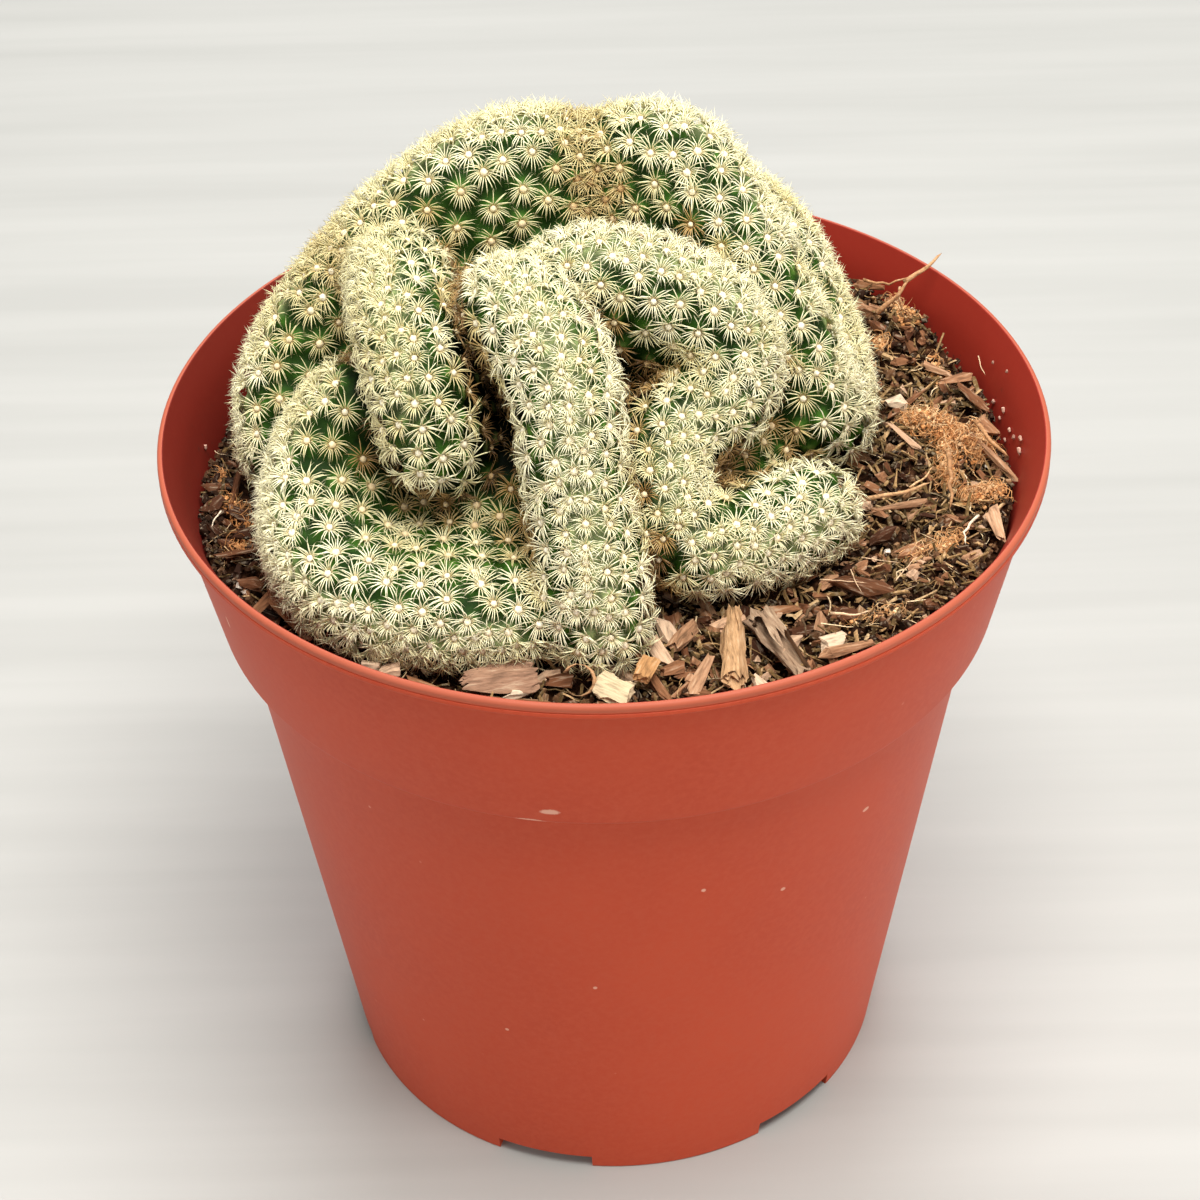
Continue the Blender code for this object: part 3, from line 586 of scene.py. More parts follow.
def split_bark(name, stops, ridge=0.18):
    """Bark or wood, split along its grain and weathered: long fibres in paler and darker streaks."""
    mat = new_material(name)
    grain = add(mat, "Mapping", {"Scale": (0.16, 1.0, 1.0), "Vector": attribute(mat, "own", "Vector")})
    fibres = add(mat, "TexNoise", {"Scale": per_metre(0.42), "Detail": 4.0, "Roughness": 0.6,
                                   "Vector": grain})
    base = ramp(mat, attribute(mat, "tone"), stops)
    streaked = mixed(mat, between(mat, fibres, 0.30, 0.52), mixed(mat, 0.62, base, "#2C1D14"), base)
    colour = mixed(mat, between(mat, fibres, 0.55, 0.75), streaked, mixed(mat, 0.35, base, "#F0DDBE"))
    return surface(mat, colour, 0.82, 1.46, 0.12, (fibres, 0.7, ridge))


def coconut_fibre():
    """Coir, combed from coconut husk: wiry, dry, ginger to straw, with paler broken ends."""
    mat = new_material("coconut_fibre")
    colour = ramp(mat, attribute(mat, "tone"), (
        (0.0, "#7C4C2A"), (0.35, "#C08048"), (0.7, "#E6AF76"), (1.0, "#F8D9AA")))
    patch = add(mat, "TexNoise", {"Scale": per_metre(0.8), "Detail": 2.0, "Vector": object_place(mat)})
    varied = mixed(mat, between(mat, patch, 0.6, 0.35), colour, mixed(mat, 0.45, colour, "#6A4226"))
    return surface(mat, varied, 0.75, 1.5, 0.2)


def table_top():
    """Pale limed board: an even off-white with faint long grain."""
    mat = new_material("table_top")
    grain = add(mat, "Mapping", {"Scale": (0.06, 1.0, 1.0), "Vector": object_place(mat)})
    streaks = add(mat, "TexNoise", {"Scale": per_metre(9), "Detail": 3.0, "Vector": grain})
    return surface(mat, ramp(mat, streaks, ((0.3, "#A6A6A3"), (0.7, "#AEAEAB"))), 0.6)


# Pot

def wall_radius(z):
    """The inner radius of the pot at a height."""
    if z > BODY_TOP_Z:
        share = (z - COLLAR_FOOT_Z) / (POT_HEIGHT - LIP_HEIGHT - COLLAR_FOOT_Z)
        return COLLAR_FOOT_RADIUS - WALL + share * (COLLAR_TOP_RADIUS - COLLAR_FOOT_RADIUS)
    return FOOT_RADIUS - WALL + z / BODY_TOP_Z * (BODY_TOP_RADIUS - FOOT_RADIUS)


def pot_profile():
    """From the middle of the underside, over the foot ring, up the outside, over the lip and down inside."""
    lip_foot = POT_HEIGHT - LIP_HEIGHT
    lip_round = 0.5 * MM
    lip_inner = COLLAR_TOP_RADIUS + 0.45 * MM
    ring_inner = FOOT_RADIUS - FOOT_RING
    step_z = COLLAR_FOOT_Z + WALL
    outside = [
        (ring_inner - 0.3 * MM, BASE_UNDERSIDE_Z),
        (ring_inner, 0.2 * MM),
        (ring_inner + 0.2 * MM, 0),
        (FOOT_RADIUS - 0.2 * MM, 0),
        (FOOT_RADIUS, 0.2 * MM),
        (FOOT_RADIUS + 0.3 * MM, 2.5 * MM),
        (BODY_TOP_RADIUS - 0.05 * MM, BODY_TOP_Z - 0.4 * MM),
        (BODY_TOP_RADIUS + 0.05 * MM, BODY_TOP_Z - 0.05 * MM),
        (BODY_TOP_RADIUS + 0.35 * MM, BODY_TOP_Z + 0.1 * MM),
        (COLLAR_FOOT_RADIUS - 0.9 * MM, COLLAR_FOOT_Z - 0.15 * MM),
    ]
    outside += arc((COLLAR_FOOT_RADIUS - 0.7 * MM, COLLAR_FOOT_Z + 0.65 * MM), 0.75 * MM, -80, -8, 6)
    outside += [
        (COLLAR_TOP_RADIUS - 0.02 * MM, lip_foot - 0.5 * MM),
        (COLLAR_TOP_RADIUS + 0.02 * MM, lip_foot - 0.15 * MM),
        (COLLAR_TOP_RADIUS + 0.25 * MM, lip_foot),
    ]
    outside += arc((RIM_RADIUS - 0.3 * MM, lip_foot + 0.3 * MM), 0.3 * MM, -75, 0, 5)
    outside += [
        (RIM_RADIUS - 0.02 * MM, lip_foot + 0.68 * MM),
        (RIM_RADIUS - 0.14 * MM, lip_foot + 0.78 * MM),
        (RIM_RADIUS - 0.02 * MM, lip_foot + 0.88 * MM),
    ]
    outside += arc((RIM_RADIUS - lip_round, POT_HEIGHT - lip_round), lip_round, 0, 90, 8)
    inside = arc((lip_inner + 0.2 * MM, POT_HEIGHT - 0.2 * MM), 0.2 * MM, 90, 165, 5)
    inside += [
        (lip_inner - 0.55 * MM, lip_foot + 0.6 * MM),
        (wall_radius(lip_foot) + 0.45 * MM, lip_foot - 0.8 * MM),
        (wall_radius(lip_foot - 3 * MM) + 0.08 * MM, lip_foot - 3 * MM),
        (wall_radius(step_z + 0.8 * MM), step_z + 0.8 * MM),
        (wall_radius(step_z) - 0.8 * MM, step_z),
        (BODY_TOP_RADIUS - WALL, BODY_TOP_Z),
        (wall_radius(BASE_TOP_Z), BASE_TOP_Z + 1.5 * MM),
        (wall_radius(BASE_TOP_Z) - 1.5 * MM, BASE_TOP_Z),
    ]
    return outside + inside


def foot_gap_cutter():
    """Blocks that cut the shallow gaps in the foot ring, joined with round cutters for the drainage holes."""
    blocks = []
    for centre in FOOT_GAP_CENTRES:
        turn = math.radians(centre)
        place = (FOOT_RADIUS * math.cos(turn), FOOT_RADIUS * math.sin(turn), 0)
        bpy.ops.mesh.primitive_cube_add(size=1, location=place, rotation=(0, 0, turn),
                                        scale=(6 * MM, FOOT_GAP_WIDTH, 2 * FOOT_GAP_HEIGHT))
        blocks.append(named("gap"))
    for i in range(DRAIN_COUNT):
        turn = math.tau * i / DRAIN_COUNT
        place = (DRAIN_CIRCLE * math.cos(turn), DRAIN_CIRCLE * math.sin(turn), BASE_TOP_Z / 2)
        bpy.ops.mesh.primitive_cylinder_add(
            vertices=32, radius=DRAIN_RADIUS, depth=3 * BASE_TOP_Z, location=place)
        blocks.append(named("drain"))
    pick(*blocks)
    bpy.ops.object.join()
    cutter = bpy.context.active_object
    set_place(cutter)
    return cutter


def make_pot():
    pot = turned("nursery_pot", pot_profile(), POT_STEPS)
    cutter = foot_gap_cutter()
    apply_modifier(pot, "BOOLEAN", operation="DIFFERENCE", object=cutter, solver="EXACT")
    drop(cutter)
    pick(pot)
    bpy.ops.object.shade_smooth_by_angle(angle=math.radians(35))
    places = points_of(pot.data)
    facing = (normals_of(pot.data)[:, :2] * places[:, :2]).sum(1) / np.hypot(*places[:, :2].T).clip(MM)
    mark(pot.data, "inside", (facing < -0.3) & (places[:, 2] > BASE_TOP_Z))
    finish_piece(pot, moulded_polypropylene(), "pot")


# Plant

def fan_point(point, crown, taper, fraction):
    """A crest point and its radius, drawn in towards the crown by a fraction of the way."""
    x, y, z, radius = point
    place = (Vector((x, y, z)) * MM).lerp(crown, fraction)
    return place, radius * MM * (1 - taper * fraction)


def crest_curve(crest, crown, taper, fraction):
    """One layer of a crest's fan: a smooth line through its points, with their radii."""
    curve = bpy.data.curves.new("crest", "CURVE")
    curve.dimensions = "3D"
    curve.bevel_depth = 1.0
    curve.bevel_resolution = 3
    curve.resolution_u = 5
    curve.use_fill_caps = True
    spline = curve.splines.new("BEZIER")
    spline.bezier_points.add(len(crest) - 1)
    for bezier, point in zip(spline.bezier_points, crest):
        bezier.co, bezier.radius = fan_point(point, crown, taper, fraction)
        bezier.handle_left_type = "AUTO"
        bezier.handle_right_type = "AUTO"
    item = bpy.data.objects.new("crest", curve)
    bpy.context.scene.collection.objects.link(item)
    return item


def plant_form():
    """The whole crest as overlapping tubes, end balls and a core, joined but not yet fused."""
    tubes = []
    balls = []
    for crest, crown, taper in CRESTS:
        for fraction in FAN_STEPS:
            tubes.append(crest_curve(crest, crown, taper, fraction))
            for end in (crest[0], crest[-1]):
                place, radius = fan_point(end, crown, taper, fraction)
                bpy.ops.mesh.primitive_uv_sphere_add(
                    segments=14, ring_count=10, radius=radius, location=place)
                balls.append(bpy.context.active_object)
    bpy.ops.mesh.primitive_uv_sphere_add(
        segments=32, ring_count=20, radius=1, location=CORE_CENTRE, scale=CORE_SIZE)
    balls.append(bpy.context.active_object)
    pick(*tubes)
    bpy.ops.object.convert(target="MESH")
    tubes = list(bpy.context.selected_objects)
    pick(*balls, *tubes)
    bpy.ops.object.join()
    form = named("cactus_skin_form")
    set_place(form)
    edit(form)
    bpy.ops.mesh.remove_doubles(threshold=0.000001)
    done()
    return form


def keep_largest_body(item):
    """Separate loose scraps and sealed hollows from the skin, and drop them."""
    edit(item)
    bpy.ops.mesh.separate(type="LOOSE")
    done()
    bodies = sorted(bpy.context.selected_objects, key=lambda body: len(body.data.vertices))
    drop(*bodies[:-1])
    return bodies[-1]


def crest_lines():
    """Close points along every growing line, with the direction in which the tissue grows there."""
    spots = []
    outwards = []
    radii = []
    for crest, crown, taper in CRESTS:
        item = crest_curve(crest, crown, taper, 0)
        item.data.bevel_depth = 0
        item.data.resolution_u = 12
        mesh = bpy.data.meshes.new_from_object(item.evaluated_get(bpy.context.evaluated_depsgraph_get()))
        line = points_of(mesh).astype(float)
        away = line - np.array(crown)
        spots.append(line)
        outwards.append(away / np.linalg.norm(away, axis=1)[:, None])
        radii.append(np.full(len(line), np.mean([point[3] for point in crest]) * MM))
        bpy.data.objects.remove(item)
        bpy.data.meshes.remove(mesh)
    return np.concatenate(spots), np.concatenate(outwards), np.concatenate(radii)


def nearest_rows(points, targets, chunk=1500):
    """For each point, the row of the nearest target and how far it is."""
    # In millimetres and single precision the table of distances is quick to work out and exact enough
    ends = (targets / MM).astype(np.float32)
    half_squares = (ends ** 2).sum(1) / 2
    rows = np.empty(len(points), int)
    for start in range(0, len(points), chunk):
        part = (points[start:start + chunk] / MM).astype(np.float32)
        rows[start:start + chunk] = (half_squares - part @ ends.T).argmin(1)
    return rows, np.linalg.norm(points - targets[rows], axis=1)


def age_field(points):
    """How far over the skin each point lies from its growing line, in metres."""
    spots, outwards, radii = crest_lines()
    rows, distance = nearest_rows(points, spots)
    q = points - spots[rows]
    down = -(q * outwards[rows]).sum(1)
    over = radii[rows] * np.arccos(np.clip(-down / np.maximum(distance, 1e-9), -1, 1))
    age = np.where(down < 0, over, radii[rows] * math.pi / 2 + down)
    for x, y, z, reach in OPEN_FLANKS:
        off = np.linalg.norm(points - np.array((x, y, z)) * MM, axis=1)
        share = 1 - smoothstep(off, 0.6 * reach * MM, 1.1 * reach * MM)
        age += (np.maximum(OPEN_FLANK_AGE, age) - age) * share
    return age


def golden_share(points):
    """How golden the spines at each point are, from 0 to 1."""
    share = np.zeros(len(points))
    for x, y, z, reach, amount in GOLDEN_PLACES:
        off = np.linalg.norm(points - np.array((x, y, z)) * MM, axis=1)
        share += amount * (1 - smoothstep(off, 0.3 * reach * MM, reach * MM))
    return share


def spacing_at(age, golden):
    """Distance between areoles: close on the growing line and in golden creases, wide on the old flanks."""
    near = SPACING_YOUNG + (SPACING_RIB - SPACING_YOUNG) * smoothstep(age, YOUNG_AGE, GROWN_AGE)
    wide = near + (SPACING_FLANK - SPACING_RIB) * smoothstep(age, RIB_REACH, FLANK_START)
    return wide * (1 - 0.4 * np.minimum(golden, 0.6))


def areole_rows(points, normals, spacing):
    """Skin points that carry an areole: scattered by the seed at the right spacing, then evened out."""
    # Random darts at 0.78 of the spacing leave as many points as an even net at the full spacing
    dart_share = 0.78
    draw = np.random.default_rng(SEED)
    allowed = (points[:, 2] > AREOLE_LOWEST_Z) & ((normals[:, 2] > -0.6) | (points[:, 2] > 95 * MM))
    free = allowed.copy()
    chosen = []
    for row in draw.permutation(len(points)):
        if free[row]:
            chosen.append(row)
            free &= ((points - points[row]) ** 2).sum(1) > (dart_share * spacing[row]) ** 2
    skin = np.hstack((points, normals * FACING_WEIGHT))
    skin_allowed = skin[allowed]
    sample = draw.permutation(len(skin_allowed))[:SETTLE_SAMPLE]
    skin_sample = skin_allowed[sample]
    weight = 1 / spacing[allowed][sample] ** 4
    seeds = skin[chosen]
    for _ in range(SETTLE_ROUNDS):
        rows, _ = nearest_rows(skin_sample, seeds)
        totals = np.bincount(rows, weight, len(seeds))
        moved = np.stack([np.bincount(rows, weight * skin_sample[:, k], len(seeds)) for k in range(6)], 1)
        held = totals > 0
        seeds[held] = moved[held] / totals[held, None]
    rows, _ = nearest_rows(seeds, skin_allowed, 100)
    return np.unique(np.flatnonzero(allowed)[rows])


def open_share(tree, spots, normals, reach, rays):
    """How much of the way out from each spot is blocked by the plant itself, from 0 to 1."""
    draw = random.Random(SEED)
    blocked = np.zeros(len(spots))
    fans = []
    for i in range(rays):
        turn = math.tau * (i + draw.random()) / rays
        lean = math.radians((30, 55, 72)[i % 3])
        fans.append((math.cos(turn) * math.sin(lean), math.sin(turn) * math.sin(lean), math.cos(lean)))
    for row, (spot, normal) in enumerate(zip(spots, normals)):
        out = Vector(normal)
        side = out.orthogonal().normalized()
        up = out.cross(side)
        start = Vector(spot) + out * 0.6 * MM
        rays_out = [side * a + up * b + out * c for a, b, c in fans]
        hits = sum(tree.ray_cast(start, ray, reach)[0] is not None for ray in rays_out)
        blocked[row] = hits / rays
    return blocked


def make_skin():
    """The fused skin with a tubercle under every areole.

    It gives the skin as a tree for rays, and each areole's spot, outward direction, age, crevice and gold.
    """
    skin = plant_form()
    apply_modifier(skin, "REMESH", mode="VOXEL", voxel_size=VOXEL)
    apply_modifier(skin, "SMOOTH", factor=0.5, iterations=6)
    skin = keep_largest_body(skin)
    skin.name = "cactus_skin"
    apply_modifier(skin, "SUBSURF", levels=1, render_levels=1)
    points = points_of(skin.data).astype(float)
    normals = normals_of(skin.data).astype(float)
    age = age_field(points)
    golden = golden_share(points)
    spread = spacing_at(age, golden)
    areoles = areole_rows(points, normals, spread)
    features = np.hstack((points, normals * FACING_WEIGHT))
    rows, distance = nearest_rows(features, features[areoles])
    spacing = spread[areoles][rows]
    share = np.clip(distance / (0.62 * spacing), 0, 1)
    relief = np.cos(share * math.pi / 2) ** 1.6
    height = TUBERCLE_SHARE * spacing
    moved = points + normals * (relief * height)[:, None]
    skin.data.vertices.foreach_set("co", moved.astype(np.float32).ravel())
    skin.data.update()
    tree = BVHTree.FromObject(skin, bpy.context.evaluated_depsgraph_get())
    crevice = open_share(tree, moved[areoles], normals[areoles], CREVICE_REACH, CREVICE_RAYS)
    smooth_crevice = crevice[rows]
    youth = 1 - smoothstep(age, 0.7 * MM, 3.8 * MM)
    # Painted shade: the pale young skin is held back in creases
    mark(skin.data, "youth", youth * (1 - 0.6 * smooth_crevice))
    mark(skin.data, "crevice", smooth_crevice)
    mark(skin.data, "relief", relief)
    skin.data.shade_smooth()
    finish_piece(skin, cactus_epidermis(), "cactus")
    sites = list(zip(moved[areoles], normals[areoles], age[areoles], crevice, golden[areoles]))
    return tree, sites


def thread(name, radii, xs, zs, sides):
    """A slim pointed thread that starts up the Z axis, drawn out ring by ring to a tip."""
    deselect()
    bpy.ops.mesh.primitive_circle_add(vertices=sides, radius=radii[0], fill_type="NGON", location=(0, 0, 0))
    item = named(name)
    edit(item)
    for i in range(1, len(radii)):
        move = (xs[i] - xs[i - 1], 0, zs[i] - zs[i - 1])
        bpy.ops.mesh.extrude_region_move(TRANSFORM_OT_translate={"value": move})
        ratio = radii[i] / radii[i - 1]
        bpy.ops.transform.resize(value=(ratio, ratio, ratio), center_override=(xs[i], 0, zs[i]))
    bpy.ops.mesh.merge(type="CENTER")
    bpy.ops.mesh.select_all(action="SELECT")
    bpy.ops.mesh.normals_make_consistent(inside=False)
    done()
    return item


def spine_pattern(name, bend, joints, true_length):
    """A spine one metre long that rises along Z and bends over towards X, to be scaled to its true length."""
    slim = SPINE_RADIUS / true_length
    xs = [0.0]
    zs = [0.0]
    for joint in range(joints):
        lean = math.radians(bend) * joint / (joints - 1)
        xs.append(xs[-1] + math.sin(lean) / joints)
        zs.append(zs[-1] + math.cos(lean) / joints)
    radii = [slim * (1 - 0.62 * (i / joints) ** 2) for i in range(joints + 1)]
    return thread(name, radii, xs, zs, 3)


def add_star(draw, tree, site, laid):
    """The spines of one areole, spread all round it; each is a matrix, a pattern's number and a tone."""
    spot, out, age, crevice, golden = site
    out = Vector(out)
    spot = Vector(spot)
    side = out.orthogonal().normalized()
    up = out.cross(side)
    young = 1 - float(smoothstep(age, YOUNG_AGE, GROWN_AGE))
    older = float(smoothstep(age, 6.5 * MM, 11 * MM)) * (1 - golden)
    deep = float(smoothstep(crevice, 0.35, 0.70))
    start_turn = draw.uniform(0, math.tau)
    # Browner where golden, where old, near the mix and on the upper left; browner too in creases and on sites
    # that face sideways, partly as weathering and partly as painted shade
    star_tone = 0.03 + 2.1 * max(0.0, crevice - 0.12) + draw.uniform(-0.05, 0.12)
    low = min(1.0, max(0.0, 1 - (spot.z - 87 * MM) / (4 * MM)))
    # Painted shade, in part: spines on sites that face sideways are tinted browner
    side_shade = min(1.0, max(0.0, crevice - 0.04) / 0.22) * (1 - float(smoothstep(out.z, 0.25, 0.85)))
    upper_left_tan = float(smoothstep(-spot.x, 13 * MM, 25 * MM)) * float(smoothstep(spot.z, 97 * MM, 106 * MM))
    star_tone = min(0.60 + 0.3 * crevice, star_tone + 0.8 * golden + 0.22 * older) + 0.12 * low
    star_tone += 0.10 * noise.noise(spot / (9 * MM)) + 0.26 * side_shade + 0.20 * upper_left_tan
    count = round(SPINES_IN_A_STAR + young - 6 * crevice - 8 * deep + draw.uniform(-1.5, 1.5))
    full_length = SPINE_LENGTH + (YOUNG_SPINE_LENGTH - SPINE_LENGTH) * young
    upright = 26 * young + 14 * crevice + 30 * golden
    fall = out * out.z - UP
    for i in range(count):
        turn = start_turn + math.tau * (i + draw.uniform(-0.22, 0.22)) / count
        lean = math.radians(max(10.0, draw.uniform(34, 58) - upright * draw.random()))
        length = full_length * draw.uniform(0.82, 1.06) * (1 - 0.08 * older - 0.22 * deep)
        flat = side * math.cos(turn) + up * math.sin(turn)
        rise = out * math.cos(lean) + flat * math.sin(lean)
        # A spine that would run into the skin stands up more and stays shorter
        if tree.ray_cast(spot + out * 0.35 * MM + rise * 0.5 * MM, rise, length)[0]:
            lean *= 0.62
            rise = out * math.cos(lean) + flat * math.sin(lean)
            length *= 0.82
        down = flat * math.cos(lean) - out * math.sin(lean)
        bend = down + rise.cross(down) * draw.uniform(-0.45, 0.45) + fall * 1.1
        bend = (bend - rise * bend.dot(rise)).normalized()
        root = spot + out * 0.03 * MM + flat * 0.30 * MM - rise * 0.2 * MM
        tone = min(1.0, max(0.0, star_tone + draw.uniform(-0.06, 0.08)))
        number = draw.randrange(3) + (3 if young > 0.6 or crevice > 0.4 else 0)
        laid.append((reaching(root, rise, bend, (length, length, length)), number, tone))


def make_spines(tree, sites):
    """Every spine, in a piece for each third of the plant round its middle."""
    patterns = [spine_pattern("spine", bend, 3, SPINE_LENGTH) for bend in (48, 68, 90)]
    patterns += [spine_pattern("young_spine", bend, 2, YOUNG_SPINE_LENGTH) for bend in (30, 45, 60)]
    thirds = [[], [], []]
    draw = random.Random(SEED)
    for site in sites:
        turn = math.atan2(site[0][1] - CROWN.y, site[0][0] - CROWN.x) + math.radians(30)
        add_star(draw, tree, site, thirds[int((turn % math.tau) / (math.tau / 3))])
    horn = spine_horn()
    for name, laid in zip(("spines_back_right", "spines_left", "spines_front"), thirds):
        finish_piece(copies(name, patterns, laid, lengthwise=True), horn, "cactus")
    drop(*patterns)


def make_wool(sites):
    """A small pad of felt on each tubercle."""
    deselect()
    bpy.ops.mesh.primitive_ico_sphere_add(subdivisions=1, radius=1)
    pad = named("pad")
    for vert in pad.data.vertices:
        vert.co *= 1 + 0.16 * noise.noise(vert.co * 2.3)
    draw = random.Random(SEED + 3)
    laid = []
    for spot, out, age, crevice, golden in sites:
        out = Vector(out)
        wide = draw.uniform(0.40, 0.54) * MM * (1 - 0.3 * crevice)
        spot = Vector(spot) + out * 0.25 * MM
        older = float(smoothstep(age, 6 * MM, 11 * MM))
        # Tanner in creases, partly as weathering and partly as painted shade
        tone = 0.02 + 0.8 * crevice + 0.6 * golden + 0.45 * older + draw.uniform(-0.1, 0.2)
        matrix = reaching(spot, out, out.orthogonal().normalized(), (wide, wide, wide * 0.8))
        laid.append((matrix, 0, min(1.0, max(0.0, tone))))
    finish_copies("areole_felt", [pad], laid, areole_wool(), "cactus", smooth=True)


# Potting mix

def open_ground(x, y):
    """Height of the mix where nothing stands on it: as in the solids, and heaped up at the back right."""
    u = x / MM
    v = y / MM
    slope = SOIL_SLOPE[0] * x + SOIL_SLOPE[1] * y
    broad = SOIL_WAVE_HEIGHTS[0] * math.sin(0.21 * u + 0.5) * math.cos(0.17 * v - 0.3)
    narrow = SOIL_WAVE_HEIGHTS[1] * math.sin(0.38 * u - 0.29 * v)
    off = math.hypot(x - HEAP_PLACE[0], y - HEAP_PLACE[1])
    heap = HEAP_HEIGHT * (1 - float(smoothstep(off, 0.25 * HEAP_REACH, HEAP_REACH)))
    return SOIL_LEVEL + slope + broad + narrow + heap


def crumbly(x, y):
    """The open ground with its lumps."""
    spot = Vector((x, y, 0)) / (2.6 * MM)
    lumps = noise.noise(spot) * 0.55 + noise.noise(spot * 2.7) * 0.3
    return open_ground(x, y) + (1.2 * lumps - 0.95) * MM


def soil_profile():
    """Up the side of the plug from its underside, then in rings over its top."""
    rim = wall_radius(SOIL_LEVEL) - SEAT_GAP
    side = [
        (wall_radius(BASE_TOP_Z) - 2 * MM, BASE_TOP_Z + SEAT_GAP),
        (wall_radius(BASE_TOP_Z + 4 * MM) - SEAT_GAP, BASE_TOP_Z + 4 * MM),
        (BODY_TOP_RADIUS - WALL - 0.4 * MM, BODY_TOP_Z + 0.2 * MM),
        (wall_radius(COLLAR_FOOT_Z + 3.5 * MM) - SEAT_GAP, COLLAR_FOOT_Z + 3.5 * MM),
        (rim, SOIL_LEVEL),
    ]
    rings = int(rim / SOIL_RING_WIDTH) - 6
    return side + [(rim - SOIL_RING_WIDTH * i, SOIL_LEVEL) for i in range(1, rings)]


def make_bed(tree):
    """The bed of fine mix: a plug whose top follows the ground and dips under the plant."""
    bed = turned("mix_bed", soil_profile(), SOIL_STEPS)
    for vert in bed.data.vertices:
        if abs(vert.co.z - SOIL_LEVEL) < 0.01 * MM:
            x, y = vert.co.x, vert.co.y
            level = crumbly(x, y)
            hit = tree.ray_cast(Vector((x, y, 0)), UP)
            if hit[0]:
                level = min(level, hit[0].z - 0.15 * MM)
            vert.co.z = level
            reach = math.hypot(x, y)
            limit = wall_radius(level) - SEAT_GAP
            if reach > limit:
                vert.co.x *= limit / reach
                vert.co.y *= limit / reach
    bed.data.shade_smooth()
    finish_piece(bed, bed_of_mix(), "soil")


def chip_pattern(name, cuts, ragged, seed):
    """A split chip of unit size, long in X: a block with torn ends and ridges, sliced along flat breaks."""
    draw = random.Random(seed)
    slices = 5
    deselect()
    bpy.ops.mesh.primitive_cube_add(size=1)
    item = named(name)
    edit(item)
    bpy.ops.mesh.subdivide(number_cuts=cuts)
    done()
    shift = Vector((seed * 3.7, seed * 1.3, 0))
    for vert in item.data.vertices:
        co = vert.co.copy()
        torn = noise.noise(Vector((0, co.y * 5, co.z * 5)) + shift)
        grooved = noise.noise(Vector((co.x * 1.2, co.y * 6, co.z * 6)) + shift)
        outline = noise.noise(Vector((co.x * 3, 0, seed)) + shift)
        vert.co.x += ragged * torn * abs(co.x) * 2
        vert.co.y = co.y * (1 + 0.5 * outline) + 0.14 * grooved
        vert.co.z *= 1 + 0.4 * grooved
    edit(item)
    for i in range(slices):
        bpy.ops.mesh.select_all(action="SELECT")
        turn = math.tau * (i + draw.uniform(-0.3, 0.3)) / slices
        flat = Vector((draw.uniform(-0.55, 0.55), math.cos(turn), math.sin(turn))).normalized()
        spot = flat * draw.uniform(0.34, 0.46)
        bpy.ops.mesh.bisect(plane_co=spot, plane_no=flat, use_fill=True, clear_outer=True)
    bpy.ops.mesh.select_all(action="SELECT")
    bpy.ops.mesh.normals_make_consistent(inside=False)
    done()
    return item


def crumb_pattern(name, subdivisions, seed):
    """A lump of unit size with broken faces; without subdivisions it is a broken block."""
    deselect()
    if subdivisions:
        bpy.ops.mesh.primitive_ico_sphere_add(subdivisions=subdivisions, radius=0.5)
    else:
        bpy.ops.mesh.primitive_cube_add(size=0.75)
    item = named(name)
    shift = Vector((seed * 5.1, 0, 0))
    for vert in item.data.vertices:
        vert.co *= 1 + 0.55 * noise.noise(vert.co * 2.4 + shift)
    return item


def fibre_pattern(name, curl, seed, joints=5, sides=3):
    """A fibre a metre long with a waver in it, to be scaled to its true length."""
    draw = random.Random(seed)
    stations = [i / joints for i in range(joints + 1)]
    xs = [curl * math.sin(t * math.pi) + 0.05 * math.sin(t * 9 + draw.uniform(0, 6)) * t for t in stations]
    radii = [0.03 * (1.0 - 0.55 * t) for t in stations]
    return thread(name, radii, xs, stations, sides)


def shred_pattern(name, bend, seed):
    """A stout flat shred of unit size, long in Z, with a kink and torn ends."""
    draw = random.Random(seed + 40)
    deselect()
    bpy.ops.mesh.primitive_circle_add(vertices=4, radius=0.5, fill_type="NGON", location=(0, 0, 0))
    item = named(name)
    edit(item)
    for rise in (0.35, 0.35, 0.3):
        move = (bend * draw.uniform(0.4, 1.6) * 4, draw.uniform(-0.3, 0.3), rise)
        bpy.ops.mesh.extrude_region_move(TRANSFORM_OT_translate={"value": move})
        bpy.ops.transform.resize(value=(draw.uniform(0.6, 1.25), draw.uniform(0.7, 1.2), 1))
    bpy.ops.mesh.select_all(action="SELECT")
    bpy.ops.mesh.normals_make_consistent(inside=False)
    done()
    for vert in item.data.vertices:
        vert.co.z += draw.uniform(-0.07, 0.07)
        vert.co.y *= 0.6
    return item


def lying(spot, rise, turn, tilt, roll, size):
    """A matrix for something that lies on the ground at a spot, long in X."""
    return set_down((spot.x, spot.y, open_ground(spot.x, spot.y) + rise), turn, tilt, roll, size)


def tumbled(draw, spot, low, high, size):
    """A matrix for a crumb that lies any way up, between two rises in millimetres."""
    rise = draw.uniform(low, high) * MM
    turn = draw.uniform(0, math.tau)
    tilt = draw.uniform(-1, 1)
    return lying(spot, rise, turn, tilt, draw.uniform(-1, 1), (size, size * 0.8, size * 0.7))


def free_spots(tree, draw, count, margin, clearance):
    """Seeded places on the open ground, clear of the plant and of the wall."""
    spots = []
    while len(spots) < count:
        turn = draw.uniform(0, math.tau)
        radius = math.sqrt(draw.uniform(0.02, 1)) * (wall_radius(SOIL_LEVEL) - margin)
        spot = Vector((radius * math.cos(turn), radius * math.sin(turn), 0))
        spot.z = open_ground(spot.x, spot.y)
        if tree.ray_cast(Vector((spot.x, spot.y, 0)), UP, spot.z + 2.5 * MM)[0]:
            continue
        if tree.find_nearest(spot)[3] < clearance:
            continue
        spots.append(spot)
    return spots


def darker(x):
    """The mix is painted darker on the left, as shade, and a little darker everywhere else."""
    return 0.62 if x < -15 * MM else 0.94


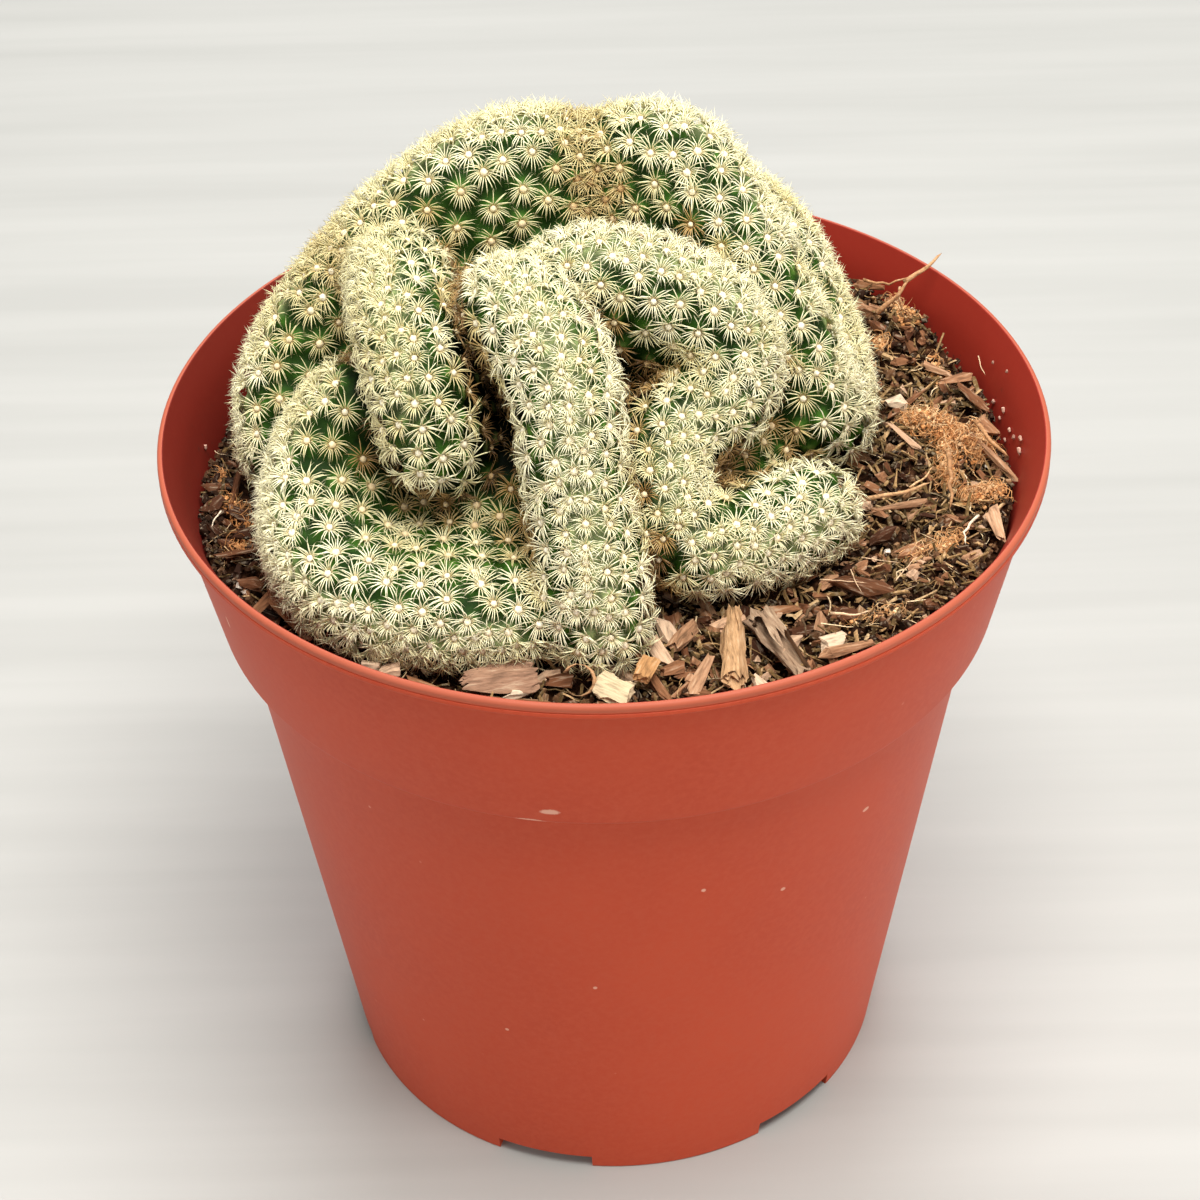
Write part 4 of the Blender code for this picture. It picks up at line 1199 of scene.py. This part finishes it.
def wall_spots(tree, draw, count, reach):
    """Seeded places in a narrow ring along the wall, raised a little, where crumbs bank up against it."""
    spots = []
    while len(spots) < count:
        turn = draw.uniform(0, math.tau)
        inward = draw.uniform(0.3 * MM, reach)
        radius = wall_radius(SOIL_LEVEL) - inward
        spot = Vector((radius * math.cos(turn), radius * math.sin(turn), 0))
        spot.z = open_ground(spot.x, spot.y)
        if tree.find_nearest(spot)[3] > 0.4 * MM:
            spots.append(spot)
    return spots


# Chips that the photograph shows one by one: x, y, rise, length, width, thickness in mm, turn and tilt in
# degrees, and tone on the chips' colour scale
SHOWN_CHIPS = (
    (13.6, -32.4, 3.0, 3.4, 1.2, 1.0, 33, 8, 0.72), (4.6, -39.2, 1.2, 7.8, 0.9, 0.9, -66, 4, 0.48),
    (10.1, -38.8, 1.0, 5.6, 1.5, 0.8, -114, 6, 0.66), (6.6, -31.5, 1.0, 3.4, 2.3, 1.6, -83, 10, 0.82),
    (8.3, -32.5, 1.1, 5.0, 2.1, 1.4, 63, 8, 0.62), (5.4, -34.8, 1.0, 4.5, 2.0, 1.3, -64, 5, 0.80),
    (6.9, -38.1, 0.7, 2.6, 1.9, 1.2, 32, 0, 0.45), (10.1, -41.4, 0.8, 3.2, 1.3, 0.7, -2, 10, 0.40),
    (18.3, -30.9, 0.9, 2.8, 2.3, 1.0, 33, 5, 0.97), (19.8, -33.1, 1.0, 2.9, 2.1, 1.5, 35, 8, 0.78),
    (21.6, -30.5, 0.7, 3.0, 1.6, 1.2, 21, 0, 0.22), (25.0, -33.3, 1.0, 3.0, 2.3, 1.1, 33, 5, 0.86),
    (26.4, -35.3, 1.2, 5.4, 1.5, 0.9, 24, 6, 0.58), (28.8, -24.5, 1.4, 5.0, 3.0, 1.8, -28, 6, 0.30),
    (25.0, -23.6, 1.2, 2.4, 1.8, 0.9, 44, 12, 0.60), (26.8, -28.9, 0.9, 2.0, 1.8, 1.3, 0, 0, 0.25),
    (19.6, -27.6, 0.9, 3.6, 1.6, 0.8, 22, 5, 0.50), (16.4, -39.2, 0.9, 2.3, 1.5, 0.8, -60, 8, 0.84),
    (20.1, -34.8, 0.9, 2.4, 1.3, 0.9, 7, 5, 0.60), (34.6, 33.2, 0.6, 3.4, 1.3, 1.0, -12, 8, 0.50),
    (34.8, 28.4, 0.6, 2.0, 1.7, 1.4, -17, 5, 0.55), (37.4, 29.2, 0.6, 2.2, 1.6, 1.3, -38, 8, 0.42),
    (34.9, 24.6, 0.6, 2.2, 1.8, 1.4, -70, 6, 0.35), (37.7, 18.6, 0.8, 2.6, 1.3, 0.8, 10, 6, 0.50),
    (41.8, 17.0, 1.3, 3.4, 1.2, 0.8, -27, 5, 0.62), (36.0, 10.6, 1.4, 2.1, 2.0, 1.5, 0, 0, 0.88),
    (37.6, 11.6, 1.0, 6.8, 0.9, 0.6, 52, 5, 0.42), (36.0, 2.7, 1.2, 5.3, 0.8, 0.6, -55, 6, 0.74),
    (43.6, 13.8, 2.0, 5.2, 1.8, 0.6, 43, 16, 0.55), (45.2, 10.1, 1.6, 5.1, 1.3, 0.6, -57, 6, 0.38),
    (46.2, -0.8, 2.0, 7.5, 1.0, 0.8, -64, 5, 0.60), (46.4, 4.9, 1.7, 2.6, 1.8, 0.9, -54, 10, 0.52),
    (35.0, -9.3, 1.0, 5.6, 1.2, 0.7, 15, 4, 0.62), (45.0, -15.3, 1.6, 4.7, 1.5, 0.8, -83, 5, 0.68),
    (32.0, -14.3, 0.8, 2.6, 2.0, 1.5, 23, 0, 0.20), (35.1, -16.7, 0.8, 3.3, 1.8, 1.1, 28, 0, 0.50),
    (-46.4, -0.8, 0.6, 2.8, 1.4, 0.9, 12, 8, 0.42), (-46.4, -3.9, 0.5, 2.8, 1.6, 1.1, 66, 5, 0.36),
    (-43.0, -5.7, 0.9, 3.4, 2.2, 1.0, -25, 5, 0.28), (-42.3, -9.9, 0.8, 3.0, 2.0, 1.0, 24, 6, 0.30),
    (-44.1, -11.8, 0.6, 2.4, 1.4, 0.9, -44, 0, 0.40), (-44.3, -1.6, 1.0, 5.4, 0.8, 0.6, -92, 6, 0.46),
    (-43.4, -14.6, 0.9, 3.4, 1.0, 0.6, 15, 5, 0.44), (-41.2, -14.8, 1.0, 4.0, 0.9, 0.6, 18, 4, 0.46),
    (-40.8, -20.3, 1.0, 2.4, 1.9, 0.9, 0, 6, 0.48), (-38.4, -24.7, 0.6, 2.6, 1.8, 1.2, -30, 0, 0.18),
    (-39.1, -25.3, 2.6, 4.2, 1.7, 0.5, 36, -24, 0.62), (-36.0, -26.8, 2.1, 5.4, 1.7, 0.5, -51, 22, 0.6),
    (-26.2, -36.3, 1.3, 2.1, 1.8, 1.4, 0, 0, 0.84), (-23.7, -37.4, 1.3, 2.4, 1.9, 1.4, 10, 0, 0.80),
    (-18.5, -39.9, 1.6, 6.2, 1.0, 0.5, -27, 4, 0.50), (-9.4, -39.8, 1.0, 3.2, 1.6, 1.0, 18, 8, 0.94),
    (-5.5, -38.3, 1.0, 2.7, 2.2, 1.3, 14, 0, 0.34), (-12.1, -40.8, 0.6, 3.4, 1.2, 0.7, -13, 0, 0.50),
    (-8.7, -41.4, 0.6, 3.9, 1.2, 0.7, -16, 0, 0.44),
)


def make_chips(tree):
    """Bark chips: those that show one by one, and more of the same scattered over the open ground."""
    patterns = [chip_pattern("chip", 1, 0.6, seed) for seed in range(10)]
    draw = random.Random(SEED + 5)
    laid = []
    for x, y, rise, length, width, thick, turn, tilt, tone in SHOWN_CHIPS:
        size = (length * MM, width * MM, thick * MM)
        spot = Vector((x, y, 0)) * MM
        matrix = lying(spot, rise * MM, math.radians(turn), math.radians(tilt), 0, size)
        # Shown chips at the far left are painted darker, as shade
        laid.append((matrix, draw.randrange(10), tone - 0.15 if x < -30 else tone))
    for spot in free_spots(tree, draw, CHIP_COUNT, 1.6 * MM, 1.0 * MM):
        longest = 2 if abs(spot.x) > 15 * MM else 5
        length = (1.2, 1.6, 2.2, 2.8, 3.6, 4.8)[draw.randint(0, longest)] * draw.uniform(0.8, 1.15)
        width = min(length * 0.7, draw.uniform(0.6, 1.7))
        size = (length * MM, width * MM, draw.uniform(0.4, 1.0) * MM)
        rise = draw.uniform(0.0, 0.8) * MM
        turn = draw.uniform(0, math.tau)
        tilt = draw.uniform(-0.6, 0.6)
        matrix = lying(spot, rise, turn, tilt, draw.uniform(-0.9, 0.9), size)
        tone = draw.choice((0.15, 0.25, 0.35, 0.4, 0.45, 0.5, 0.55, 0.65, 0.78))
        # Chips on the left are painted darker, as shade, and the rest a little darker
        laid.append((matrix, draw.randrange(10), tone - (0.2 if spot.x < -15 * MM else 0.02)))
    bark = split_bark("composted_bark_chips", (
        (0.0, "#1F100A"), (0.2, "#462818"), (0.35, "#6B432B"), (0.5, "#906344"), (0.65, "#AC8262"),
        (0.8, "#CBA88A"), (1.0, "#E6D6BC")))
    finish_copies("bark_chips", patterns, laid, bark)


def make_crumbs(tree):
    """The loose crumb of the mix: peat, fine bark and a few pale grains of grit."""
    patterns = [crumb_pattern("crumb", 1, seed) for seed in range(4)]
    patterns += [crumb_pattern("fine_crumb", 0, seed) for seed in range(4, 8)]
    draw = random.Random(SEED + 7)
    laid = []
    for spot in free_spots(tree, draw, CRUMB_COUNT, 0.9 * MM, 0.5 * MM):
        matrix = tumbled(draw, spot, -0.3, 0.5, draw.uniform(0.9, 2.0) * MM)
        tone = draw.choice((0.02, 0.1, 0.2, 0.3, 0.4, 0.5)) + draw.uniform(0, 0.08)
        laid.append((matrix, draw.randrange(4), tone * darker(spot.x)))
    fine_spots = free_spots(tree, draw, FINE_CRUMB_COUNT, 0.5 * MM, 0.25 * MM)
    for spot in fine_spots + wall_spots(tree, draw, BANKED_CRUMB_COUNT, 2.6 * MM):
        matrix = tumbled(draw, spot, -0.2, 0.7, draw.uniform(0.35, 0.95) * MM)
        tone = draw.choice((0.02, 0.1, 0.15, 0.25, 0.35, 0.5, 0.6)) * darker(spot.x)
        if draw.random() < 0.015:
            tone = 0.97
        laid.append((matrix, 4 + draw.randrange(4), tone))
    peat = split_bark("peat_and_grit", (
        (0.0, "#1A0C06"), (0.2, "#3A2416"), (0.35, "#573B27"), (0.5, "#7A573A"), (0.65, "#A07A55"),
        (0.9, "#C9AC8A"), (1.0, "#F3EADC")), 0.3)
    finish_copies("mix_crumbs", patterns, laid, peat)


def flung(draw, spot, length, thick, rise):
    """A matrix for a thread that lies anyhow over a spot, or nothing where it meets the wall."""
    turn = draw.uniform(0, math.tau)
    ahead = Vector((math.cos(turn), math.sin(turn), draw.uniform(-rise, rise * 1.6))).normalized()
    across = ahead.cross(UP).normalized()
    roll = draw.uniform(-0.8, 0.8)
    bend = across * math.cos(roll) + ahead.cross(across) * math.sin(roll)
    start = Vector((spot.x, spot.y, spot.z + draw.uniform(0.1, 0.9) * MM)) - ahead * length / 2
    for end in (start, start + ahead * length):
        if math.hypot(end.x, end.y) > wall_radius(SOIL_LEVEL) - 0.4 * MM:
            return None
    return reaching(start, ahead, bend, (thick, thick, length))


def make_fibres(tree):
    """Loose coir threads and stout shreds of wood that lie all over the mix."""
    curls = (0.02, 0.08, -0.1, 0.16, 0.25)
    patterns = [fibre_pattern("fibre", curl, seed) for seed, curl in enumerate(curls)]
    patterns += [shred_pattern("shred", bend, seed) for seed, bend in enumerate((0.02, 0.07, 0.12, -0.09))]
    draw = random.Random(SEED + 9)
    laid = []
    for spot in free_spots(tree, draw, THREAD_COUNT, 1.0 * MM, 0.7 * MM):
        length = draw.uniform(1.6, 5.0) * MM
        matrix = flung(draw, spot, length, draw.uniform(1.8, 4.0) * MM, 0.14)
        if matrix:
            tone = draw.choice((0.3, 0.45, 0.6, 0.75, 0.95)) + draw.uniform(-0.08, 0.04)
            laid.append((matrix, draw.randrange(5), tone))
    for spot in free_spots(tree, draw, SHRED_COUNT, 0.9 * MM, 0.6 * MM):
        if spot.x < 10 * MM and draw.random() < 0.5:
            continue
        length = draw.choice((1.0, 1.4, 1.8, 2.4, 3.4)) * draw.uniform(0.8, 1.2) * MM
        matrix = flung(draw, spot, length, draw.uniform(0.3, 0.7) * MM, 0.6)
        if matrix:
            tone = draw.choice((0.15, 0.3, 0.4, 0.5, 0.6, 0.75)) + draw.uniform(-0.08, 0.08)
            laid.append((matrix, 5 + draw.randrange(4), tone * darker(spot.x)))
    shredded = split_bark("shredded_wood_fibre", (
        (0.0, "#2A2013"), (0.3, "#554226"), (0.5, "#80653F"), (0.7, "#B48F62"), (1.0, "#EAD2AA")), 0.1)
    finish_copies("mix_fibres", patterns, laid, shredded)


# Dry crumbs that stick to the inner wall above the mix: x, y, z and size in mm
WALL_CRUMBS = (
    (47.7, 13.4, 91.0, 0.45), (48.8, 9.6, 92.2, 0.5), (47.5, 10.4, 87.2, 0.7), (48.3, 7.3, 88.2, 0.7),
    (48.0, 7.7, 86.7, 0.5), (48.2, 4.3, 85.9, 0.5), (48.8, 1.7, 88.1, 0.6), (49.1, -1.0, 89.9, 0.7),
    (48.9, -2.2, 89.0, 0.8), (48.6, 3.8, 87.7, 0.6), (-48.2, 6.1, 86.3, 0.6), (-47.5, 6.0, 83.5, 0.4),
)


def make_wall_crumbs():
    """Dry crumbs that stick to the inside of the wall."""
    draw = random.Random(SEED + 21)
    laid = []
    for x, y, z, size in WALL_CRUMBS:
        spot = Vector((x, y, 0)).normalized() * (wall_radius(z * MM) - 0.25 * size * MM)
        spot.z = z * MM
        matrix = set_down(spot, 0, 0, draw.uniform(0, 3), (size * 0.6 * MM, size * MM, size * 1.4 * MM))
        laid.append((matrix, 0, 0.95))
    pale = split_bark("dry_pale_crumb", ((0.0, "#8A5A48"), (1.0, "#D2A794")), 0.05)
    finish_copies("wall_crumbs", [crumb_pattern("crumb", 1, 3)], laid, pale)


# Loose pieces

def big_chip(name, slot, seed, size, angles, tone, stops, cuts=9, ragged=0.16, ridge=0.3, shift=(0, 0, 0)):
    """A large chip in the place of its solid, finely cut so that its torn ends and grooves show."""
    pattern = chip_pattern(name + "_pattern", cuts, ragged, seed)
    for vert in pattern.data.vertices:
        fine = Vector((vert.co.x * 4, vert.co.y * 16, vert.co.z * 8)) + Vector((seed, 0, 0))
        vert.co.z += 0.10 * noise.noise(fine)
        vert.co.y += 0.05 * noise.noise(fine * 1.7)
    low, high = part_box(name)
    centre = (low + high) / 2 + Vector(shift) * MM
    turn, tilt, roll = (math.radians(angle) for angle in angles)
    matrix = set_down(centre, turn, tilt, roll, Vector(size) * MM)
    wood = split_bark(slot + "_grain", ((0.0, stops[0]), (1.0, stops[1])), ridge)
    item = finish_copies(name + "_piece", [pattern], [(matrix, 0, tone)], wood, name, smooth=True)
    pick(item)
    bpy.ops.object.shade_smooth_by_angle(angle=math.radians(42))


# Strokes along which the coir of the tuft lies: from x, y to x, y, half width, height, threads and crumbs
TUFT_STROKES = (
    (36.4, 6.8, 42.6, 2.6, 2.2, 2.9, 470, 330), (41.0, 3.2, 45.6, 0.2, 1.9, 2.3, 240, 180),
    (41.0, 2.6, 40.6, -5.8, 1.3, 1.6, 230, 90), (42.0, -8.4, 47.0, -7.4, 1.7, 1.3, 150, 90),
    (44.4, 5.4, 46.6, 1.6, 1.1, 1.6, 80, 40),
)
# Smaller tufts of the same fluff among the mix
FLUFF_STROKES = (
    (34.0, -17.6, 41.0, -15.4, 1.2, 0.9, 90, 70), (38.2, -17.6, 39.8, -16.9, 0.8, 0.9, 30, 30),
    (34.2, 21.8, 35.4, 20.6, 1.1, 1.2, 45, 50), (-45.6, -2.0, -41.8, -7.6, 1.3, 0.8, 60, 90),
    (-44.0, -11.6, -41.2, -14.2, 1.2, 0.8, 50, 80), (-46.6, 3.0, -46.2, 0.6, 0.8, 0.7, 25, 40),
    (36.5, 30.5, 39.5, 24.5, 1.6, 1.0, 40, 120), (41.0, 20.0, 42.5, 14.0, 1.2, 0.8, 30, 60),
    (26.0, -30.0, 33.0, -29.0, 1.3, 0.6, 30, 30),
)


def make_fluff(name, strokes, mat, node):
    """Coconut fibre with its pith: matted strokes of short curling threads and crumbs."""
    curls = (0.15, 0.3, 0.45, -0.25)
    patterns = [fibre_pattern("coir", curl, seed + 20, 4) for seed, curl in enumerate(curls)]
    patterns += [crumb_pattern("pith", 1, seed + 30) for seed in range(3)]
    draw = random.Random(SEED + 13)
    laid = []
    for x0, y0, x1, y1, half_width, height, threads, crumbs in strokes:
        start = Vector((x0, y0, 0)) * MM
        stroke = Vector((x1, y1, 0)) * MM - start
        across = stroke.cross(UP).normalized()
        for i in range(threads + crumbs):
            share = draw.random()
            off = draw.gauss(0, 0.5)
            spot = start + stroke * share + across * off * half_width * MM
            dome = max(0.0, 1 - off ** 2) * (1 - 0.5 * abs(2 * share - 1) ** 3)
            spot.z = open_ground(spot.x, spot.y) + 0.4 * MM + height * MM * dome * draw.random() ** 0.5
            if i < threads:
                ahead = Vector((draw.uniform(-1, 1), draw.uniform(-1, 1), draw.uniform(-0.35, 0.6)))
                ahead = (ahead + stroke.normalized() * draw.choice((-0.7, 0.7))).normalized()
                length = draw.uniform(1.0, 3.0) * MM
                thick = draw.uniform(1.5, 3.0) * MM
                root = spot - ahead * length * 0.4
                matrix = reaching(root, ahead, ahead.orthogonal().normalized(), (thick, thick, length))
                number = draw.randrange(4)
                # Painted light and shade: threads high on the tuft are lighter and those low down darker
                tone = 0.35 + 0.75 * dome * draw.random() + 0.25 * draw.random()
            else:
                size = draw.uniform(0.25, 0.8) * MM
                size = (size, size * 0.8, size * 0.6)
                matrix = set_down(spot - UP * 0.3 * MM, share * 7, 0, off * 5, size)
                number = 4 + draw.randrange(3)
                # Painted light and shade: crumbs high on the tuft are lighter
                tone = draw.uniform(0.2, 0.7) + 0.4 * dome
            laid.append((matrix, number, min(1.0, tone) * darker(spot.x)))
    finish_copies(name, patterns, laid, mat, node)


# Strands that the photograph shows one by one: from x, y, z to x, y, z, width in mm and tone
SHOWN_STRANDS = (
    (34.6, 24.2, 91.5, 38.6, 27.2, 94.6, 0.95, 0.62), (38.2, 26.9, 94.3, 43.0, 30.2, 96.6, 0.75, 0.66),
    (33.2, 28.2, 94.0, 38.8, 27.4, 94.6, 0.45, 0.60), (37.6, 26.6, 93.8, 39.2, 22.6, 91.4, 0.45, 0.55),
    (44.6, 2.2, 90.2, 48.0, -5.0, 90.0, 0.75, 0.60), (30.6, -10.0, 88.2, 38.2, -8.2, 89.4, 0.62, 0.70),
    (35.6, -8.9, 88.9, 38.4, -6.0, 90.0, 0.45, 0.80), (42.9, -15.0, 89.2, 40.7, -20.2, 89.0, 0.40, 0.95),
    (24.6, -31.6, 88.8, 29.3, -31.0, 88.9, 0.40, 0.85), (23.3, -29.9, 88.8, 21.6, -35.5, 88.7, 0.50, 0.15),
    (46.5, 16.1, 90.2, 47.2, 13.0, 89.4, 0.18, 0.85), (24.0, -24.5, 87.9, 29.5, -25.4, 87.8, 0.16, 0.85),
    (27.6, -22.6, 87.8, 28.6, -27.4, 88.1, 0.15, 0.85), (29.0, -20.5, 87.8, 33.5, -21.6, 87.8, 0.15, 0.85),
    (32.5, -25.0, 87.9, 35.5, -20.5, 87.8, 0.16, 0.85), (-44.8, -10.0, 88.6, -45.6, -12.6, 88.2, 0.25, 0.95),
    (40.5, -4.0, 90.4, 39.4, -12.6, 88.6, 0.70, 0.55), (13.4, -38.6, 88.4, 15.6, -41.0, 88.6, 0.40, 0.60),
)
# The strand that is curled into a ring
RING_PLACE = Vector((-4.8, -40.2, 88.4)) * MM
RING_SIZE = 1.75 * MM


def make_strands():
    """Long strands of husk and root that lie or lean by themselves, and one that is curled into a ring."""
    curls = (0.06, -0.05, 0.1)
    patterns = [fibre_pattern("strand", curl, seed + 60, 7, 5) for seed, curl in enumerate(curls)]
    turns = [math.radians(20 + 29 * i) for i in range(11)]
    xs = [math.cos(turns[0]) - math.cos(turn) for turn in turns]
    zs = [math.sin(turn) - math.sin(turns[0]) for turn in turns]
    patterns.append(thread("ring", [0.13] * 10 + [0.05], xs, zs, 5))
    draw = random.Random(SEED + 31)
    laid = []
    for x0, y0, z0, x1, y1, z1, width, tone in SHOWN_STRANDS:
        start = Vector((x0, y0, z0)) * MM
        ahead = Vector((x1, y1, z1)) * MM - start
        length = ahead.length
        ahead.normalize()
        bend = (ahead.cross(UP) + UP * draw.uniform(-0.6, 0.6)).normalized()
        bend = (bend - ahead * bend.dot(ahead)).normalized()
        thick = width / 0.06 * MM
        matrix = reaching(start, ahead, bend, (min(thick, length * 1.4), thick, length))
        laid.append((matrix, draw.randrange(3), tone))
    ring = set_down(RING_PLACE, math.radians(-14), 0, math.radians(-34), (RING_SIZE, RING_SIZE, RING_SIZE))
    laid.append((ring, 3, 0.7))
    husk = split_bark("dry_husk_strand", (
        (0.0, "#3A3326"), (0.3, "#75593F"), (0.6, "#B5855C"), (0.8, "#DDB284"), (1.0, "#F0E4CE")), 0.08)
    finish_copies("husk_strands", patterns, laid, husk, smooth=True)


def make_loose_pieces():
    """The pieces that could be picked off the mix, with sizes in mm, and turn, tilt and roll in degrees."""
    big_chip("wood_splinter", "split_wood", 2, (13.2, 2.9, 1.9), (91, 6, 0), 0.6, ("#A07850", "#C49C74"))
    big_chip("bark_shard", "weathered_bark", 5, (10.2, 3.0, 1.9), (-64, 4, 0), 0.6, ("#7C6350", "#B29478"),
             ridge=0.4)
    big_chip("bark_slab", "flat_bark", 7, (7.2, 3.8, 1.5), (10, 2, 26), 0.5, ("#8E6C56", "#B38C72"),
             ragged=0.3, shift=(-0.4, -0.5, 1.1))
    big_chip("cream_chip", "pale_wood", 11, (3.9, 3.4, 2.3), (-25, 8, 10), 0.6, ("#CDB48C", "#E0CCA8"),
             cuts=7)
    big_chip("orange_chip", "orange_bark", 13, (3.0, 2.3, 1.6), (70, 5, 0), 0.5, ("#A4764A", "#C99866"),
             cuts=7, shift=(-1.4, 0, 0))
    coir = coconut_fibre()
    make_fluff("coir_tuft_fibres", TUFT_STROKES, coir, "coir_tuft")
    make_fluff("mix_fluff", FLUFF_STROKES, coir, "soil")
    make_strands()


# Stage

def make_stage():
    """A wide pale table top, four soft lights and an even sky."""
    deselect()
    bpy.ops.mesh.primitive_plane_add(size=6, location=(0, 0, 0))
    floor = named("table")
    floor.data.materials.append(table_top())
    lights = (
        ("key", (0.10, -0.20, 0.95), 0.60, 12.8, "#FFFDF8"),
        ("fill", (-0.70, -0.55, 0.40), 0.60, 2.0, "#FFFAF4"),
        ("side", (0.95, -0.45, 0.06), 0.40, 4.8, "#FFFAF4"),
        ("back", (0.00, 0.65, 0.85), 0.60, 5.5, "#FFFFFF"),
    )
    for name, place, size, power, colour in lights:
        data = bpy.data.lights.new(name, "AREA")
        data.shape = "DISK"
        data.size = size
        data.energy = power
        data.color = linear(colour)[:3]
        item = bpy.data.objects.new(name, data)
        item.location = place
        item.rotation_euler = (Vector((0, 0, 0.08)) - Vector(place)).to_track_quat("-Z", "Y").to_euler()
        bpy.context.scene.collection.objects.link(item)
    world = bpy.data.worlds.new("sky")
    world.use_nodes = True
    world.node_tree.nodes["Background"].inputs["Color"].default_value = linear("#F8F6F2")
    world.node_tree.nodes["Background"].inputs["Strength"].default_value = 0.44
    bpy.context.scene.world = world
    bpy.context.scene.view_settings.view_transform = "Standard"


def make_camera():
    """The photograph's viewpoint, found from the pot's rim, collar step and foot."""
    frame_size = 1200
    focal_length_in_pixels = 2777.19
    data = bpy.data.cameras.new("camera")
    data.sensor_width = 36
    data.lens = focal_length_in_pixels / frame_size * data.sensor_width
    data.clip_start = 0.01
    camera = bpy.data.objects.new("camera", data)
    camera.location = (0, -268.997 * MM, 283.326 * MM)
    camera.rotation_euler = [math.radians(angle) for angle in (51.0393, 1.1212, -0.7111)]
    bpy.context.scene.collection.objects.link(camera)
    bpy.context.scene.camera = camera


make_camera()
make_stage()
make_pot()
skin_tree, areole_sites = make_skin()
make_spines(skin_tree, areole_sites)
make_wool(areole_sites)
make_bed(skin_tree)
make_chips(skin_tree)
make_crumbs(skin_tree)
make_fibres(skin_tree)
make_wall_crumbs()
make_loose_pieces()
